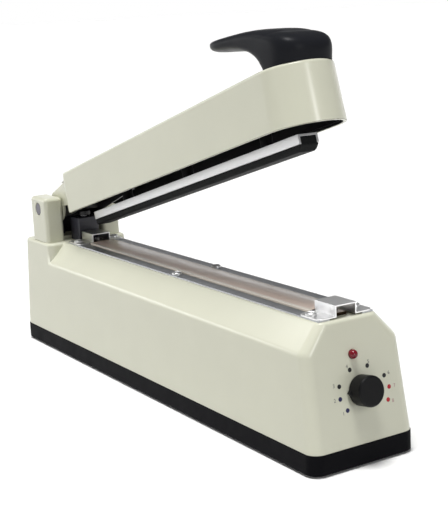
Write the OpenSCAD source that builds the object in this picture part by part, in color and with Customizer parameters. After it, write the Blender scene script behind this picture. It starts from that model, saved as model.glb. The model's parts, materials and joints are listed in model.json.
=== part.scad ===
// Hand impulse bag sealer: a moulded base with a heated jaw, and a hinged arm that presses on it.
// Lengths are millimetres. +X runs from the hinge to the front panel, +Z is up, the floor is z = 0
// and the origin lies under the middle of the overall length. The arm is drawn open, at rest.

/* [Base tray] */
// Length of the base at the floor
base_l = 455; // [440:1:480]
// Width of the base at the floor
base_w = 84; // [82:1:92]
// Height of the seam between tray and shell
base_h = 15; // [14:0.5:18]
// Radius of the upright corners
corner_r = 9; // [8:0.5:12]
// Thickness of the tray wall
tray_wall = 5; // [4.6:0.1:6]
// Thickness of the tray floor
tray_floor = 3; // [2.5:0.1:4]
// Gap under the tray, held open by the feet
foot_gap = 1.5; // [1:0.1:2.5]
// Radius of a rubber foot
foot_r = 7; // [5:0.5:8]
// Height of the lip that locates the shell
lip_h = 2.5; // [1.5:0.1:3]

/* [Shell] */
// Height of the flat deck
deck_h = 95.5; // [93:0.5:98]
// Height at which the side chamfers start
shoulder_h = 78; // [74:0.5:80]
// Width of the flat deck between the chamfers
deck_w = 47; // [46:0.5:50]
// Wall of the shell
shell_wall = 2.5; // [2:0.1:3]
// Step in from the tray at the seam
seam_step = 0.3; // [0.1:0.1:0.6]
// Lean of the front panel in degrees
front_lean = 9.4; // [8:0.1:11]
// Lean of the rear wall in degrees
rear_lean = 3; // [2:0.1:4]
// Draft of the side walls in degrees
side_draft = 2.3; // [1.5:0.1:2.8]
// Radius along the shoulders
shoulder_r = 8; // [5:0.5:10]
// Radius of the deck's edge
deck_edge_r = 2.5; // [1.5:0.1:3]
// Radius of the deck's corners inside that edge
deck_corner_r = 4.5; // [3:0.5:6]
// Length of the raised pedestal at the rear
pedestal_l = 60; // [56:1:64]

/* [Hinge] */
// Distance of the hinge pin from the rear end
hinge_back = 36; // [34:0.5:38]
// Height of the hinge pin above the deck
hinge_up = 29.5; // [28:0.5:32]
// Angle by which the arm stands open, in degrees
open_angle = 15.5; // [13:0.5:18]
// Length of an ear
ear_l = 32; // [30:0.5:34]
// Thickness of an ear
ear_t = 17.4; // [15:0.1:18]
// Half of the gap between the ears
ear_gap = 19.1; // [18.8:0.1:19.6]
// Height of the ears above the hinge pin
ear_over = 10.5; // [9:0.5:13]
// Edge radius of the ears
ear_r = 3.5; // [2:0.1:4]
// Thickness of the plate that joins the ears
bracket_t = 3; // [2:0.1:4]
// Thickness of the guard behind the hinge
guard_t = 3; // [2:0.1:3.4]
// Depth of the guard's top below the hinge pin
guard_drop = 10; // [9:0.5:14]
// Radius of the hinge pin
pin_r = 4; // [3:0.1:4.5]
// Radius of the pin's head
pin_head_r = 5.4; // [5.2:0.1:6]
// Wall of a hinge bush
bush_wall = 1.4; // [1:0.1:2]

/* [Jaw] */
// Length of the sealing bed
bed_l = 325; // [310:1:332]
// Start of the bed in front of the hinge
bed_start = 53; // [52:0.5:56]
// Width of the sealing bed
bed_w = 23.2; // [20:0.2:24]
// Thickness of the sealing bed
bed_t = 1.8; // [1.5:0.1:3]
// Width of the insulating strip
tape_w = 12; // [8:0.5:16]
// Thickness of the insulating strip
tape_t = 0.3; // [0.2:0.05:0.5]
// Width of the heating element
element_w = 3; // [2:0.5:5]
// Thickness of the heating element
element_t = 0.3; // [0.2:0.05:0.5]
// Thickness of the release cloth
cloth_t = 0.3; // [0.2:0.05:0.5]
// Width of a clamp strip
strip_w = 9; // [8:0.2:9.4]
// Thickness of a clamp strip
strip_t = 1; // [0.8:0.1:1.5]
// Length of an end cover
cover_l = 22; // [18:0.5:24]
// Outer width of an end cover between its flanges
cover_w = 17; // [16:0.5:20]
// Height of an end cover above the clamp strips
cover_h = 8; // [7:0.5:9]
// Sheet thickness of the end covers
cover_t = 1; // [0.8:0.1:1.2]

/* [Arm] */
// Reach of the arm in front of the hinge
arm_reach = 402.5; // [390:0.5:412]
// Width of the arm
arm_w = 56; // [52:0.5:60]
// Distance of the wide part's rear edge in front of the hinge
arm_rear = 45; // [42:0.5:50]
// Depth of the arm's rim below the hinge
rim_drop = 12; // [10:0.5:13]
// Height of the arm's top above the hinge at the rear
rise_rear = 23.5; // [22:0.5:26]
// Height of the arm's top above the hinge at the front
rise_front = 28; // [26:0.5:32]
// Wall of the arm
arm_wall = 2.5; // [2:0.1:3]
// Wall of the black liner inside the arm
liner_t = 1.2; // [1:0.1:2]
// Edge radius along the arm's top
arm_edge_r = 2; // [1:0.1:3]
// Width of the arm's neck between the ears
neck_w = 35.6; // [34.8:0.1:36]
// Radius of the neck around the hinge
neck_r = 14; // [13.5:0.1:15]
// Thickness of the arm frame's cheeks
cheek_t = 2; // [1.5:0.1:2.5]
// Width of the pressing bar
bar_w = 15.6; // [14:0.2:16.4]
// Height of the pressing bar
bar_h = 6.5; // [5:0.1:7]
// Sheet thickness of the pressing bar
bar_t = 1.5; // [1:0.1:2]
// Width of the rubber strip below the bar
rubber_w = 14.4; // [12:0.2:15]
// Height of the rubber strip below the bar
rubber_h = 4.9; // [4:0.1:6]

/* [Handle] */
// Length of the handle
handle_l = 102.5; // [96:0.5:110]
// Height of the handle's crest above the arm
handle_rise = 35; // [32:0.5:38]
// Length of the handle's foot on the arm
foot_l = 36; // [32:0.5:40]
// Half width of the handle's foot
foot_half_w = 22; // [20:0.5:24]
// Half width of the hook
hook_half_w = 21; // [18:0.5:23]
// Thickness of the hook at its tip
tip_t = 8.5; // [6:0.5:10]
// Rise of the hook towards its tip
tip_lift = 5.5; // [3:0.5:6]

/* [Lift and switch] */
// Distance of the push rod in front of the hinge
rod_lever = 19; // [18:0.5:20]
// Radius of the push rod
rod_r = 2.5; // [2:0.1:3]
// Radius of the push rod's head
rod_head_r = 5.5; // [5:0.1:5.7]
// Radius of the push pin in the arm
nose_r = 3; // [2.5:0.1:3.5]
// Depth of the push pin's axis below the hinge
nose_drop = 5; // [4:0.5:6]
// Bore of the spring tower
tower_bore_r = 6; // [5.9:0.1:6.5]
// Room between the spring tower and the push pin when the arm is closed
tower_room = 1; // [0.5:0.1:2]
// Wire radius of the return spring
wire_r = 0.65; // [0.5:0.05:0.8]
// Turns of the return spring
spring_turns = 6; // [4:1:8]
// Travel of the switch button
button_travel = 0.8; // [0.5:0.1:1.2]

/* [Front panel] */
// Distance of the dial's centre above the seam, along the panel
dial_up = 34.6; // [32:0.1:36]
// Distance of the dial's centre from the middle, towards +Y
dial_side = 1.5; // [0:0.5:5]
// Radius of the knob
knob_r = 10.2; // [9.6:0.1:13]
// Bevel round the knob's face
knob_edge = 1; // [0.5:0.1:2]
// Height of the knob
knob_h = 11.5; // [11:0.5:15]
// Radius of the potentiometer's shaft
shaft_r = 3; // [2.5:0.1:3]
// Distance of the lamp above the dial's centre, along the panel
lamp_up = 24; // [22:0.1:27]
// Distance of the lamp from the dial's centre, towards +Y
lamp_side = -3; // [-8:0.5:0]
// Radius of the lamp's lens
lens_r = 3; // [2.5:0.1:3.5]

/* [Transformer] */
// Distance of the transformer in front of the hinge
transformer_x = 205; // [180:5:240]
// Length of the laminated core
core_l = 66; // [60:1:72]
// Height of the laminated core
core_h = 55; // [50:1:60]
// Stack thickness of the laminated core
core_t = 30; // [24:1:34]

/* [Hidden] */
$fn = 48;

// Gap between pieces that move past each other
clear = 0.3;
// Gap between a shaft and its bore
fit = 0.05;
// Overlap of a cutter past the face that it cuts
cut = 1;
// Facets of the rounded corners that are blended together
blend_fn = 32;

ivory = "#d6d7c4";
black = "#1f1f22";
steel = "#8c8e92";
bright = "#d9dadb";
brass = "#c8a24a";

// Places along the length
lean_cos = cos(front_lean);
dial_z = base_h + dial_up * lean_cos;
knob_gap = 0.6;
knob_overhang = (knob_gap + knob_h) * lean_cos + (knob_r - knob_edge) * sin(front_lean)
    - seam_step - (dial_z - base_h) * tan(front_lean);
x_rear = -(base_l + max(0, knob_overhang)) / 2;
x_front = x_rear + base_l;
hinge_x = x_rear + hinge_back;
hinge_h = deck_h + hinge_up;
rod_x = hinge_x + rod_lever;
bed_x0 = hinge_x + bed_start;
bed_x1 = bed_x0 + bed_l;
cover_gap = 2;
rear_cover_x1 = bed_x0 - cover_gap;
rear_cover_x0 = rear_cover_x1 - cover_l;
front_cover_x0 = bed_x1 + cover_gap;
front_cover_x1 = front_cover_x0 + cover_l;
x_ped = x_rear + pedestal_l;

// Heights of the jaw's layers
floor_z = foot_gap + tray_floor;
strip_top = deck_h + strip_t;
bed_top = deck_h + bed_t;
tape_top = bed_top + tape_t;
element_top = tape_top + element_t;
layer_gap = 0.05;
cloth_top = element_top + layer_gap + cloth_t;
strip_out = deck_w / 2 - 1.5;
strip_in = strip_out - strip_w;
rubber_drop = hinge_h - cloth_top - clear - layer_gap;
bar_drop = rubber_drop - rubber_h - bar_h;

// Planes of the shell: the front panel, the rear wall and the drafted sides at height z
function front_x(z) = x_front - seam_step - (z - base_h) * tan(front_lean);
function rear_x(z) = x_rear + seam_step + (z - base_h) * tan(rear_lean);
function half_y(z) = base_w / 2 - seam_step - (z - base_h) * tan(side_draft);

// Chamfer plane from the shoulder to the deck's edge
chamfer_run = half_y(shoulder_h) - deck_w / 2;
chamfer_a = atan2(chamfer_run, deck_h - shoulder_h);
chamfer_d = half_y(shoulder_h) * cos(chamfer_a) + shoulder_h * sin(chamfer_a);
side_d = half_y(0) * cos(side_draft);

// Centre of a rounded shoulder that touches the side and the chamfer, both moved in by t
function shoulder_y(q) = ((side_d - q) * sin(chamfer_a) - (chamfer_d - q) * sin(side_draft))
    / sin(chamfer_a - side_draft);
function shoulder_z(q) = ((chamfer_d - q) * cos(side_draft) - (side_d - q) * cos(chamfer_a))
    / sin(chamfer_a - side_draft);
function deck_ring_y(z, t, edge) =
    (chamfer_d - t - deck_corner_r * cos(chamfer_a) - edge - z * sin(chamfer_a)) / cos(chamfer_a);
// Centre of a ring of radius ring, rounded by edge, that touches an end wall moved in by t
function end_x(front, z, t, ring, edge) = front
    ? front_x(z) - (t + edge) / lean_cos - ring
    : rear_x(z) + (t + edge) / cos(rear_lean) + ring;

// Flat disc with a rounded edge, the corner of a blended form
module edge_ring(ring, edge) {
    rotate_extrude($fn = blend_fn) intersection() {
        translate([ring, 0]) circle(edge, $fn = 16);
        translate([0, -edge]) square([ring + edge, 2 * edge]);
    }
}

// Plan outline with true round corners
module rounded_rect(x0, x1, w, r) {
    translate([x0 + r, -w / 2]) square([x1 - x0 - 2 * r, w]);
    translate([x0, -w / 2 + r]) square([x1 - x0, w - 2 * r]);
    for (x = [x0 + r, x1 - r], y = [-w / 2 + r, w / 2 - r]) translate([x, y]) circle(r);
}

// Children drawn along +Z lie along +Y
module along_y() {
    rotate([-90, 0, 0]) children();
}

// Side profile drawn in x and z, made w wide across Y
module side_plate(w) {
    rotate([90, 0, 0]) linear_extrude(w, center = true) children();
}

// Cross-section drawn in y and z, run from x0 to x1
module run_x(x0, x1) {
    translate([x0, 0, 0]) rotate([90, 0, 90]) linear_extrude(x1 - x0) children();
}

// Front panel frame at the dial: local x towards +Y, local y up the panel, local z out of it
module on_panel() {
    translate([front_x(dial_z), dial_side, dial_z]) rotate([0, -front_lean, 0]) rotate([90, 0, 90])
        children();
}

// Screw that stands on z = 0 with its head above and its shank below
module screw(shank_r, shank_l, head_r, head_h) {
    translate([0, 0, -shank_l]) cylinder(r = shank_r, h = shank_l);
    rotate_extrude() polygon([
        [0, 0], [head_r, 0], [head_r, head_h * 0.45], [head_r * 0.82, head_h * 0.85],
        [head_r * 0.5, head_h], [0, head_h]
    ]);
}

// Arm frame: the hinge is the local origin, x runs along the closed arm
module arm_pose() {
    translate([hinge_x, 0, hinge_h]) rotate([0, -open_angle, 0]) children();
}

// Base tray, feet and their screws
post_r = 5;
post_top = base_h + 5;
boss_top = post_top + 25;
post_in = 30;
post_y = base_w / 2 - post_r - 4;
base_screw_r = 1.5;
base_head_r = 3.2;
base_seat_z = 7;
base_screw_l = 26;
base_head_h = 2.2;
post_x = [x_rear + post_in, x_front - post_in];
foot_x = [x_rear + 52, x_front - 52];
foot_y = base_w / 2 - 13;
peg_r = 2.4;
peg_over = 0.8;
foot_edge = 0.6;
small_r = 1.5;
small_head_r = 2.8;
small_head_h = 2.2;
floor_bite = 2.3;
lip_in = seam_step + shell_wall / lean_cos + lip_h * tan(front_lean) + clear;

module post_places() {
    for (x = post_x, y = [-post_y, post_y]) translate([x, y, 0]) children();
}

module foot_places() {
    for (x = foot_x, y = [-foot_y, foot_y]) translate([x, y, 0]) children();
}

module base_tray() {
    color(black) difference() {
        union() {
            difference() {
                translate([0, 0, foot_gap]) linear_extrude(base_h - foot_gap)
                    rounded_rect(x_rear, x_front, base_w, corner_r);
                translate([0, 0, floor_z]) linear_extrude(base_h) rounded_rect(
                    x_rear + tray_wall, x_front - tray_wall, base_w - 2 * tray_wall,
                    corner_r - tray_wall);
            }
            translate([0, 0, base_h]) linear_extrude(lip_h) difference() {
                rounded_rect(x_rear + lip_in, x_front - lip_in, base_w - 2 * lip_in, corner_r - lip_in);
                rounded_rect(x_rear + tray_wall, x_front - tray_wall, base_w - 2 * tray_wall,
                    corner_r - tray_wall);
            }
            post_places() translate([0, 0, foot_gap]) cylinder(r = post_r, h = post_top - foot_gap);
        }
        post_places() cylinder(r = base_screw_r + 4 * fit, h = post_top + cut);
        post_places() cylinder(r = base_head_r + clear, h = base_seat_z);
        foot_places() cylinder(r = peg_r + fit, h = floor_z + cut);
        floor_screw_places() translate([0, 0, floor_z - floor_bite - fit])
            cylinder(r = small_r + fit, h = floor_bite + cut);
    }
}

module rubber_feet() {
    color("#2b2b2c") foot_places() {
        rotate_extrude() polygon([
            [0, 0], [foot_r - foot_edge, 0], [foot_r, foot_edge], [foot_r, foot_gap], [peg_r, foot_gap],
            [peg_r, floor_z + peg_over], [0, floor_z + peg_over]
        ]);
    }
}

module base_screws() {
    color(steel) post_places() translate([0, 0, base_seat_z]) mirror([0, 0, 1])
        screw(base_screw_r, base_screw_l, base_head_r, base_head_h);
}

// Moulded shell
module shell_main(t, z0) {
    rs = max(shoulder_r - t, 1);
    edge = max(deck_edge_r - t, 0.5);
    ring_z = deck_h - t - edge;
    hull() for (front = [false, true], s = [-1, 1]) {
        translate([end_x(front, z0, t, corner_r - t, 0), s * (half_y(z0) - corner_r), z0])
            cylinder(r = corner_r - t, h = 0.1, $fn = blend_fn);
        translate([
            end_x(front, shoulder_z(t + rs), t, 0, rs), s * shoulder_y(t + rs), shoulder_z(t + rs)
        ]) sphere(rs, $fn = 24);
        translate([
            end_x(front, ring_z, t, deck_corner_r, edge), s * deck_ring_y(ring_z, t, edge), ring_z
        ]) edge_ring(deck_corner_r, edge);
    }
}

module shell_pedestal(t, z0) {
    edge = max(deck_edge_r - t, 0.5);
    ring_z = deck_h - t - edge;
    ring_y = half_y(ring_z) - (t + edge) / cos(side_draft) - deck_corner_r;
    hull() for (s = [-1, 1]) {
        translate([end_x(false, z0, t, corner_r - t, 0), s * (half_y(z0) - corner_r), z0])
            cylinder(r = corner_r - t, h = 0.1, $fn = blend_fn);
        translate([x_ped - t - corner_r, s * (half_y(z0) - corner_r), z0])
            cylinder(r = corner_r - t, h = 0.1, $fn = blend_fn);
        for (x = [end_x(false, ring_z, t, deck_corner_r, edge), x_ped - t - edge - deck_corner_r])
            translate([x, s * ring_y, ring_z]) edge_ring(deck_corner_r, edge);
    }
}

tower_neck_r = 7.8;
strip_screw_y = (strip_in + strip_out) / 2;
strip_screw_x = [(rear_cover_x0 + rear_cover_x1) / 2, (bed_x0 + bed_x1) / 2, front_cover_x0 + 8];
strip_shank = 5;
strip_head_r = 3.8;
strip_head_h = 2.2;
ear_screw_x = 9;
ear_screw_y = ear_gap + ear_t / 2 - 0.5;
ear_screw_r = 1.75;
ear_screw_l = 14;
bushing_r = 3.5;
gland_z = 36;
gland_r = 5;
gland_bore_r = 3.2;
gland_lip = 7.5;
gland_out = 1.6;
gland_tail = 2;
gland_back = -shell_wall - layer_gap;

module strip_screw_places() {
    for (x = strip_screw_x, s = [-1, 1]) translate([x, s * strip_screw_y, 0]) children();
}

module ear_screw_places() {
    for (dx = [-ear_screw_x, ear_screw_x], s = [-1, 1])
        translate([hinge_x + dx, s * ear_screw_y, 0]) children();
}

module on_rear() {
    translate([rear_x(gland_z), 0, gland_z]) rotate([0, rear_lean - 90, 0]) children();
}

module body_shell() {
    color(ivory) difference() {
        union() {
            difference() {
                union() {
                    shell_main(0, base_h);
                    shell_pedestal(0, base_h);
                }
                shell_main(shell_wall, base_h - cut);
                shell_pedestal(shell_wall, base_h - cut);
            }
            post_places() translate([0, 0, post_top]) cylinder(r = post_r, h = boss_top - post_top);
            for (x = post_x, s = [-1, 1]) translate([
                x - 1.25, s > 0 ? post_y : -half_y(boss_top) + 1, post_top
            ]) cube([2.5, half_y(boss_top) - 1 - post_y, boss_top - post_top]);
        }
        post_places() translate([0, 0, post_top - cut])
            cylinder(r = base_screw_r + fit, h = boss_top - post_top - 4);
        translate([rod_x, 0, deck_h - shell_wall - cut])
            cylinder(r = tower_neck_r + fit, h = shell_wall + 2 * cut);
        strip_screw_places() translate([0, 0, deck_h - shell_wall - cut])
            cylinder(r = small_r + fit, h = shell_wall + 2 * cut);
        ear_screw_places() translate([0, 0, deck_h - shell_wall - cut])
            cylinder(r = ear_screw_r + 2 * fit, h = shell_wall + 2 * cut);
        on_panel() translate([0, 0, -shell_wall - cut])
            cylinder(r = bushing_r + fit, h = shell_wall + 2 * cut);
        on_panel() translate([lamp_side, lamp_up, -shell_wall - cut])
            cylinder(r = lens_r + fit, h = shell_wall + 2 * cut);
        on_rear() translate([0, 0, -shell_wall - cut])
            cylinder(r = gland_r + fit, h = shell_wall + 2 * cut);
    }
}

// Hinge bracket, pin and clip
ear_out = ear_gap + ear_t;
ear_top = hinge_h + ear_over;
sink = 2;
bracket_front = 7;

module ear(s) {
    y_in = s * (ear_gap + ear_r);
    y_out = s * (ear_out - ear_r);
    hull() for (x = [-ear_l / 2 + ear_r, ear_l / 2 - ear_r], y = [y_in, y_out]) {
        translate([hinge_x + x, y, deck_h]) cylinder(r = ear_r, h = 0.1, $fn = blend_fn);
        translate([hinge_x + x, y, ear_top - ear_r]) sphere(ear_r, $fn = blend_fn);
    }
}

module hinge_bracket() {
    color(ivory) difference() {
        union() {
            ear(-1);
            ear(1);
            translate([hinge_x - ear_l / 2 + ear_r, -ear_gap - ear_r, deck_h])
                cube([ear_l / 2 - ear_r + bracket_front, 2 * (ear_gap + ear_r), bracket_t]);
        }
        translate([hinge_x, -ear_out - cut, hinge_h]) along_y()
            cylinder(r = pin_r + fit, h = 2 * (ear_out + cut));
        for (y = [-ear_out - cut, ear_out - sink]) translate([hinge_x, y, hinge_h]) along_y()
            cylinder(r = pin_head_r + clear, h = sink + cut);
        ear_screw_places() translate([0, 0, deck_h - cut])
            cylinder(r = ear_screw_r + fit, h = ear_screw_l + cut);
    }
}

// Guard behind the hinge: a wall between the ears that hides the lift
guard_front = hinge_x - ear_l / 2 + ear_r - layer_gap;
guard_base = deck_h + layer_gap;
guard_corner_r = 1;

module rear_guard() {
    color(black) translate([0, 0, guard_base]) linear_extrude(hinge_h - guard_drop - guard_base)
        rounded_rect(guard_front - guard_t, guard_front, 2 * (ear_gap - clear), guard_corner_r);
}

module hinge_screws() {
    color(steel) ear_screw_places() translate([0, 0, deck_h - shell_wall]) mirror([0, 0, 1])
        screw(ear_screw_r, ear_screw_l + shell_wall - 1, 3.4, 2.4);
}

pin_seat = ear_out - sink;
clip_t = 0.8;
groove_r = pin_r - 0.7;
pin_end = pin_seat + clip_t + 0.9;

module hinge_pin() {
    color(bright) translate([hinge_x, 0, hinge_h]) along_y() rotate_extrude() polygon([
        [0, -pin_seat - 1.8], [pin_head_r - 0.7, -pin_seat - 1.8], [pin_head_r, -pin_seat - 1.1],
        [pin_head_r, -pin_seat], [pin_r, -pin_seat], [pin_r, pin_seat], [groove_r, pin_seat],
        [groove_r, pin_seat + clip_t], [pin_r, pin_seat + clip_t], [pin_r, pin_end - 0.5],
        [pin_r - 0.5, pin_end], [0, pin_end]
    ]);
}

module pin_clip() {
    color(steel) translate([hinge_x, pin_seat, hinge_h]) along_y() difference() {
        cylinder(r = pin_head_r, h = clip_t);
        translate([0, 0, -cut]) cylinder(r = groove_r + 0.02, h = clip_t + 2 * cut);
        translate([-groove_r * 0.85, 0, -cut]) cube([groove_r * 1.7, pin_head_r + cut, clip_t + 2 * cut]);
    }
}

// Lift: tower, spring and push rod
tower_back = 10;
tower_front = 8;
tower_half_w = 10;
tower_depth = 12;
tower_floor = 3;
tower_top = hinge_h - nose_drop - nose_r - tower_room;
spring_z0 = deck_h - tower_depth + tower_floor;
nose_open = rod_lever * sin(open_angle) - nose_drop * cos(open_angle) - nose_r;
nose_shut = -nose_drop - nose_r;
rod_stroke = nose_open - nose_shut;
rod_top = hinge_h + nose_open - clear;
rod_head_h = 4;
spring_z1 = rod_top - rod_head_h;

module spring_tower() {
    color(black) difference() {
        union() {
            translate([0, 0, deck_h]) linear_extrude(tower_top - deck_h)
                rounded_rect(rod_x - tower_back, rod_x + tower_front, 2 * tower_half_w, 1.5);
            translate([rod_x, 0, deck_h - tower_depth]) cylinder(r = tower_neck_r, h = tower_depth + cut);
        }
        translate([rod_x, 0, spring_z0]) cylinder(r = tower_bore_r, h = tower_top);
        translate([rod_x, 0, deck_h - tower_depth - cut])
            cylinder(r = rod_r + fit, h = tower_floor + 2 * cut);
    }
}

// Return spring: one round wire along a helix, closed by flat ends
coil_r = (tower_bore_r + rod_r) / 2;
rings_per_turn = 8;
wire_sides = 6;
wire_z0 = spring_z0 + wire_r + layer_gap;
wire_z1 = spring_z1 - wire_r - layer_gap;
coil_n = spring_turns * rings_per_turn;

function coil_at(i) = [
    coil_r * cos(360 * i / rings_per_turn), coil_r * sin(360 * i / rings_per_turn),
    wire_z0 + (wire_z1 - wire_z0) * i / coil_n
];
function wire_point(i, j) =
    let (a = 360 * i / rings_per_turn, b = 360 * j / wire_sides, r = coil_r + wire_r * cos(b))
    [r * cos(a), r * sin(a), coil_at(i)[2] + wire_r * sin(b)];

coil_gap = min([
    for (i = [0 : coil_n], j = [0 : coil_n]) if (j - i >= rings_per_turn / 2)
        norm(coil_at(j) - coil_at(i)) - 2 * wire_r
]);
echo(least_gap_between_spring_turns = coil_gap);

module return_spring() {
    last = coil_n * wire_sides;
    points = [for (i = [0 : coil_n], j = [0 : wire_sides - 1]) wire_point(i, j)];
    sides = [
        for (i = [0 : coil_n - 1], j = [0 : wire_sides - 1])
            let (a = i * wire_sides + j, b = i * wire_sides + (j + 1) % wire_sides)
            each [[a, a + wire_sides, b], [b, a + wire_sides, b + wire_sides]]
    ];
    first_end = [for (j = [1 : wire_sides - 2]) [0, j, j + 1]];
    last_end = [for (j = [1 : wire_sides - 2]) [last, last + j + 1, last + j]];
    color(steel) translate([rod_x, 0, 0]) polyhedron(points, concat(sides, first_end, last_end));
}

button_r = 1.6;
switch_z0 = 34;
switch_h = 16;
switch_top = switch_z0 + switch_h;
button_top = switch_top + button_travel + 0.4;
rod_low = button_top - button_travel + clear + rod_stroke;

module push_rod() {
    color("#c9cacb") translate([rod_x, 0, 0]) rotate_extrude() polygon([
        [0, rod_low], [rod_r - 0.5, rod_low], [rod_r, rod_low + 0.5], [rod_r, spring_z1],
        [rod_head_r, spring_z1], [rod_head_r, rod_top - 1], [rod_head_r - 1, rod_top], [0, rod_top]
    ]);
}

// Jaw layers
module sealing_bed() {
    color("#c4c6c8") run_x(bed_x0, bed_x1) translate([-bed_w / 2, deck_h]) square([bed_w, bed_t]);
}

module insulating_strip() {
    color("#b9a184") run_x(bed_x0, bed_x1) translate([-tape_w / 2, bed_top]) square([tape_w, tape_t]);
}

terminal_l = 14;
terminal_w = 10;
tab_w = 6;
terminal_x = [
    (rear_cover_x0 + rear_cover_x1) / 2 + 2, (front_cover_x0 + front_cover_x1) / 2 - 2
];
terminal_screw_r = 1.2;
terminal_head_r = 2.6;
terminal_head_h = 1.8;
terminal_blind = 0.3;
terminal_screw_l = element_top - deck_h - 2 * terminal_blind;

module heating_element() {
    color("#9a9b9c") difference() {
        union() {
            for (i = [0, 1])
                translate([terminal_x[i] - terminal_l / 2, -tab_w / 2, tape_top])
                    cube([terminal_l, tab_w, element_t]);
            translate([terminal_x[0], -element_w / 2, tape_top])
                cube([terminal_x[1] - terminal_x[0], element_w, element_t]);
        }
        for (x = terminal_x) translate([x, 0, tape_top - cut])
            cylinder(r = terminal_screw_r + fit, h = element_t + 2 * cut);
    }
}

module element_terminals() {
    color(brass) for (x = terminal_x) difference() {
        translate([x - terminal_l / 2, -terminal_w / 2, deck_h])
            cube([terminal_l, terminal_w, tape_top - deck_h]);
        translate([x, 0, deck_h + terminal_blind]) cylinder(r = terminal_screw_r + fit, h = tape_top);
    }
}

module terminal_screws() {
    color(bright) for (x = terminal_x) translate([x, 0, element_top])
        screw(terminal_screw_r, terminal_screw_l, terminal_head_r, terminal_head_h);
}

// Release cloth: a shallow roof over the element, folded down beside the bed
module ptfe_cloth() {
    side = bed_w / 2 + layer_gap;
    eave = bed_top + layer_gap;
    crest = element_top + layer_gap;
    crest_half = element_w / 2 + 0.3;
    color("#a98f80") run_x(bed_x0, bed_x1) polygon([
        [-side - cloth_t, deck_h + 0.1], [-side - cloth_t, eave + cloth_t], [-crest_half, cloth_top],
        [crest_half, cloth_top], [side + cloth_t, eave + cloth_t], [side + cloth_t, deck_h + 0.1],
        [side, deck_h + 0.1], [side, eave], [crest_half, crest], [-crest_half, crest], [-side, eave],
        [-side, deck_h + 0.1]
    ]);
}

module clamp_strip(s) {
    color("#6e7074") difference() {
        run_x(rear_cover_x0, front_cover_x1)
            translate([s > 0 ? strip_in : -strip_out, deck_h]) square([strip_w, strip_t]);
        strip_screw_places() translate([0, 0, deck_h - cut])
            cylinder(r = small_r + 2 * fit, h = strip_t + 2 * cut);
    }
}

module near_clamp_strip() {
    clamp_strip(-1);
}

module far_clamp_strip() {
    clamp_strip(1);
}

module strip_screws() {
    color(bright) for (i = [0 : 2], s = [-1, 1])
        translate([strip_screw_x[i], s * strip_screw_y, strip_top + (i == 1 ? 0 : cover_t)])
            screw(small_r, strip_shank, strip_head_r, strip_head_h);
}

// End cover: hat section with rounded flange corners
module end_cover(x0, x1) {
    hat = cover_w / 2;
    top = strip_top + cover_h;
    color(bright) difference() {
        intersection() {
            run_x(x0, x1) polygon([
                [-strip_out, strip_top], [-hat + cover_t, strip_top], [-hat + cover_t, top - cover_t],
                [hat - cover_t, top - cover_t], [hat - cover_t, strip_top], [strip_out, strip_top],
                [strip_out, strip_top + cover_t], [hat, strip_top + cover_t], [hat, top], [-hat, top],
                [-hat, strip_top + cover_t], [-strip_out, strip_top + cover_t]
            ]);
            translate([0, 0, deck_h]) linear_extrude(2 * cover_h)
                rounded_rect(x0, x1, 2 * strip_out, 4);
        }
        strip_screw_places() translate([0, 0, strip_top - cut])
            cylinder(r = small_r + 2 * fit, h = cover_t + 2 * cut);
    }
}

module front_end_cover() {
    end_cover(front_cover_x0, front_cover_x1);
}

module rear_end_cover() {
    end_cover(rear_cover_x0, rear_cover_x1);
}

// Micro switch and its bracket
switch_l = 28;
switch_w = 10.3;
switch_x0 = rod_x - 8;
plate_t = 1.5;
switch_screw_at = [[switch_x0 + 4, switch_z0 + 4], [switch_x0 + 24, switch_z0 + 12]];
bracket_foot = 17;
bracket_screw_x = [switch_x0 + 6, switch_x0 + 22];
bracket_screw_y = switch_w / 2 + plate_t + bracket_foot / 2;
strap_t = 1.5;
strap_foot = 14;
strap_w = 20;
strap_screw_dx = core_l / 2 + strap_t + strap_foot / 2;
transformer_mid = hinge_x + transformer_x;

module floor_screw_places() {
    for (x = bracket_screw_x) translate([x, bracket_screw_y, 0]) children();
    for (s = [-1, 1]) translate([transformer_mid + s * strap_screw_dx, 0, 0]) children();
}

module micro_switch() {
    color("#26282c") difference() {
        translate([switch_x0, -switch_w / 2, switch_z0]) cube([switch_l, switch_w, switch_h]);
        translate([rod_x, 0, switch_top - 4]) cylinder(r = button_r + fit, h = 4 + cut);
        for (p = switch_screw_at) translate([p[0], -switch_w, p[1]]) along_y()
            cylinder(r = small_r + fit, h = 2 * switch_w);
    }
}

module switch_button() {
    color("#b5342c") translate([rod_x, 0, switch_top - 4 + button_travel + clear])
        cylinder(r = button_r, h = button_top - switch_top + 4 - button_travel - clear);
}

module switch_bracket() {
    y0 = switch_w / 2;
    color(steel) difference() {
        run_x(switch_x0, switch_x0 + switch_l) polygon([
            [y0, floor_z], [y0 + plate_t + bracket_foot, floor_z],
            [y0 + plate_t + bracket_foot, floor_z + plate_t], [y0 + plate_t, floor_z + plate_t],
            [y0 + plate_t, switch_top], [y0, switch_top]
        ]);
        for (p = switch_screw_at) translate([p[0], 0, p[1]]) along_y()
            cylinder(r = small_r + fit, h = 2 * switch_w);
        for (x = bracket_screw_x) translate([x, bracket_screw_y, floor_z - cut])
            cylinder(r = small_r + fit, h = plate_t + 2 * cut);
    }
}

module switch_screws() {
    color(bright) for (p = switch_screw_at) translate([p[0], -switch_w / 2, p[1]]) rotate([90, 0, 0])
        screw(small_r, switch_w + plate_t + 2, small_head_r, small_head_h);
}

module floor_screws() {
    color(bright) floor_screw_places() translate([0, 0, floor_z + plate_t])
        screw(small_r, plate_t + floor_bite, small_head_r, small_head_h);
}

// Transformer
leg = core_l / 6;
window_h = core_h - 2 * leg;
coil_over = 10;

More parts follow.
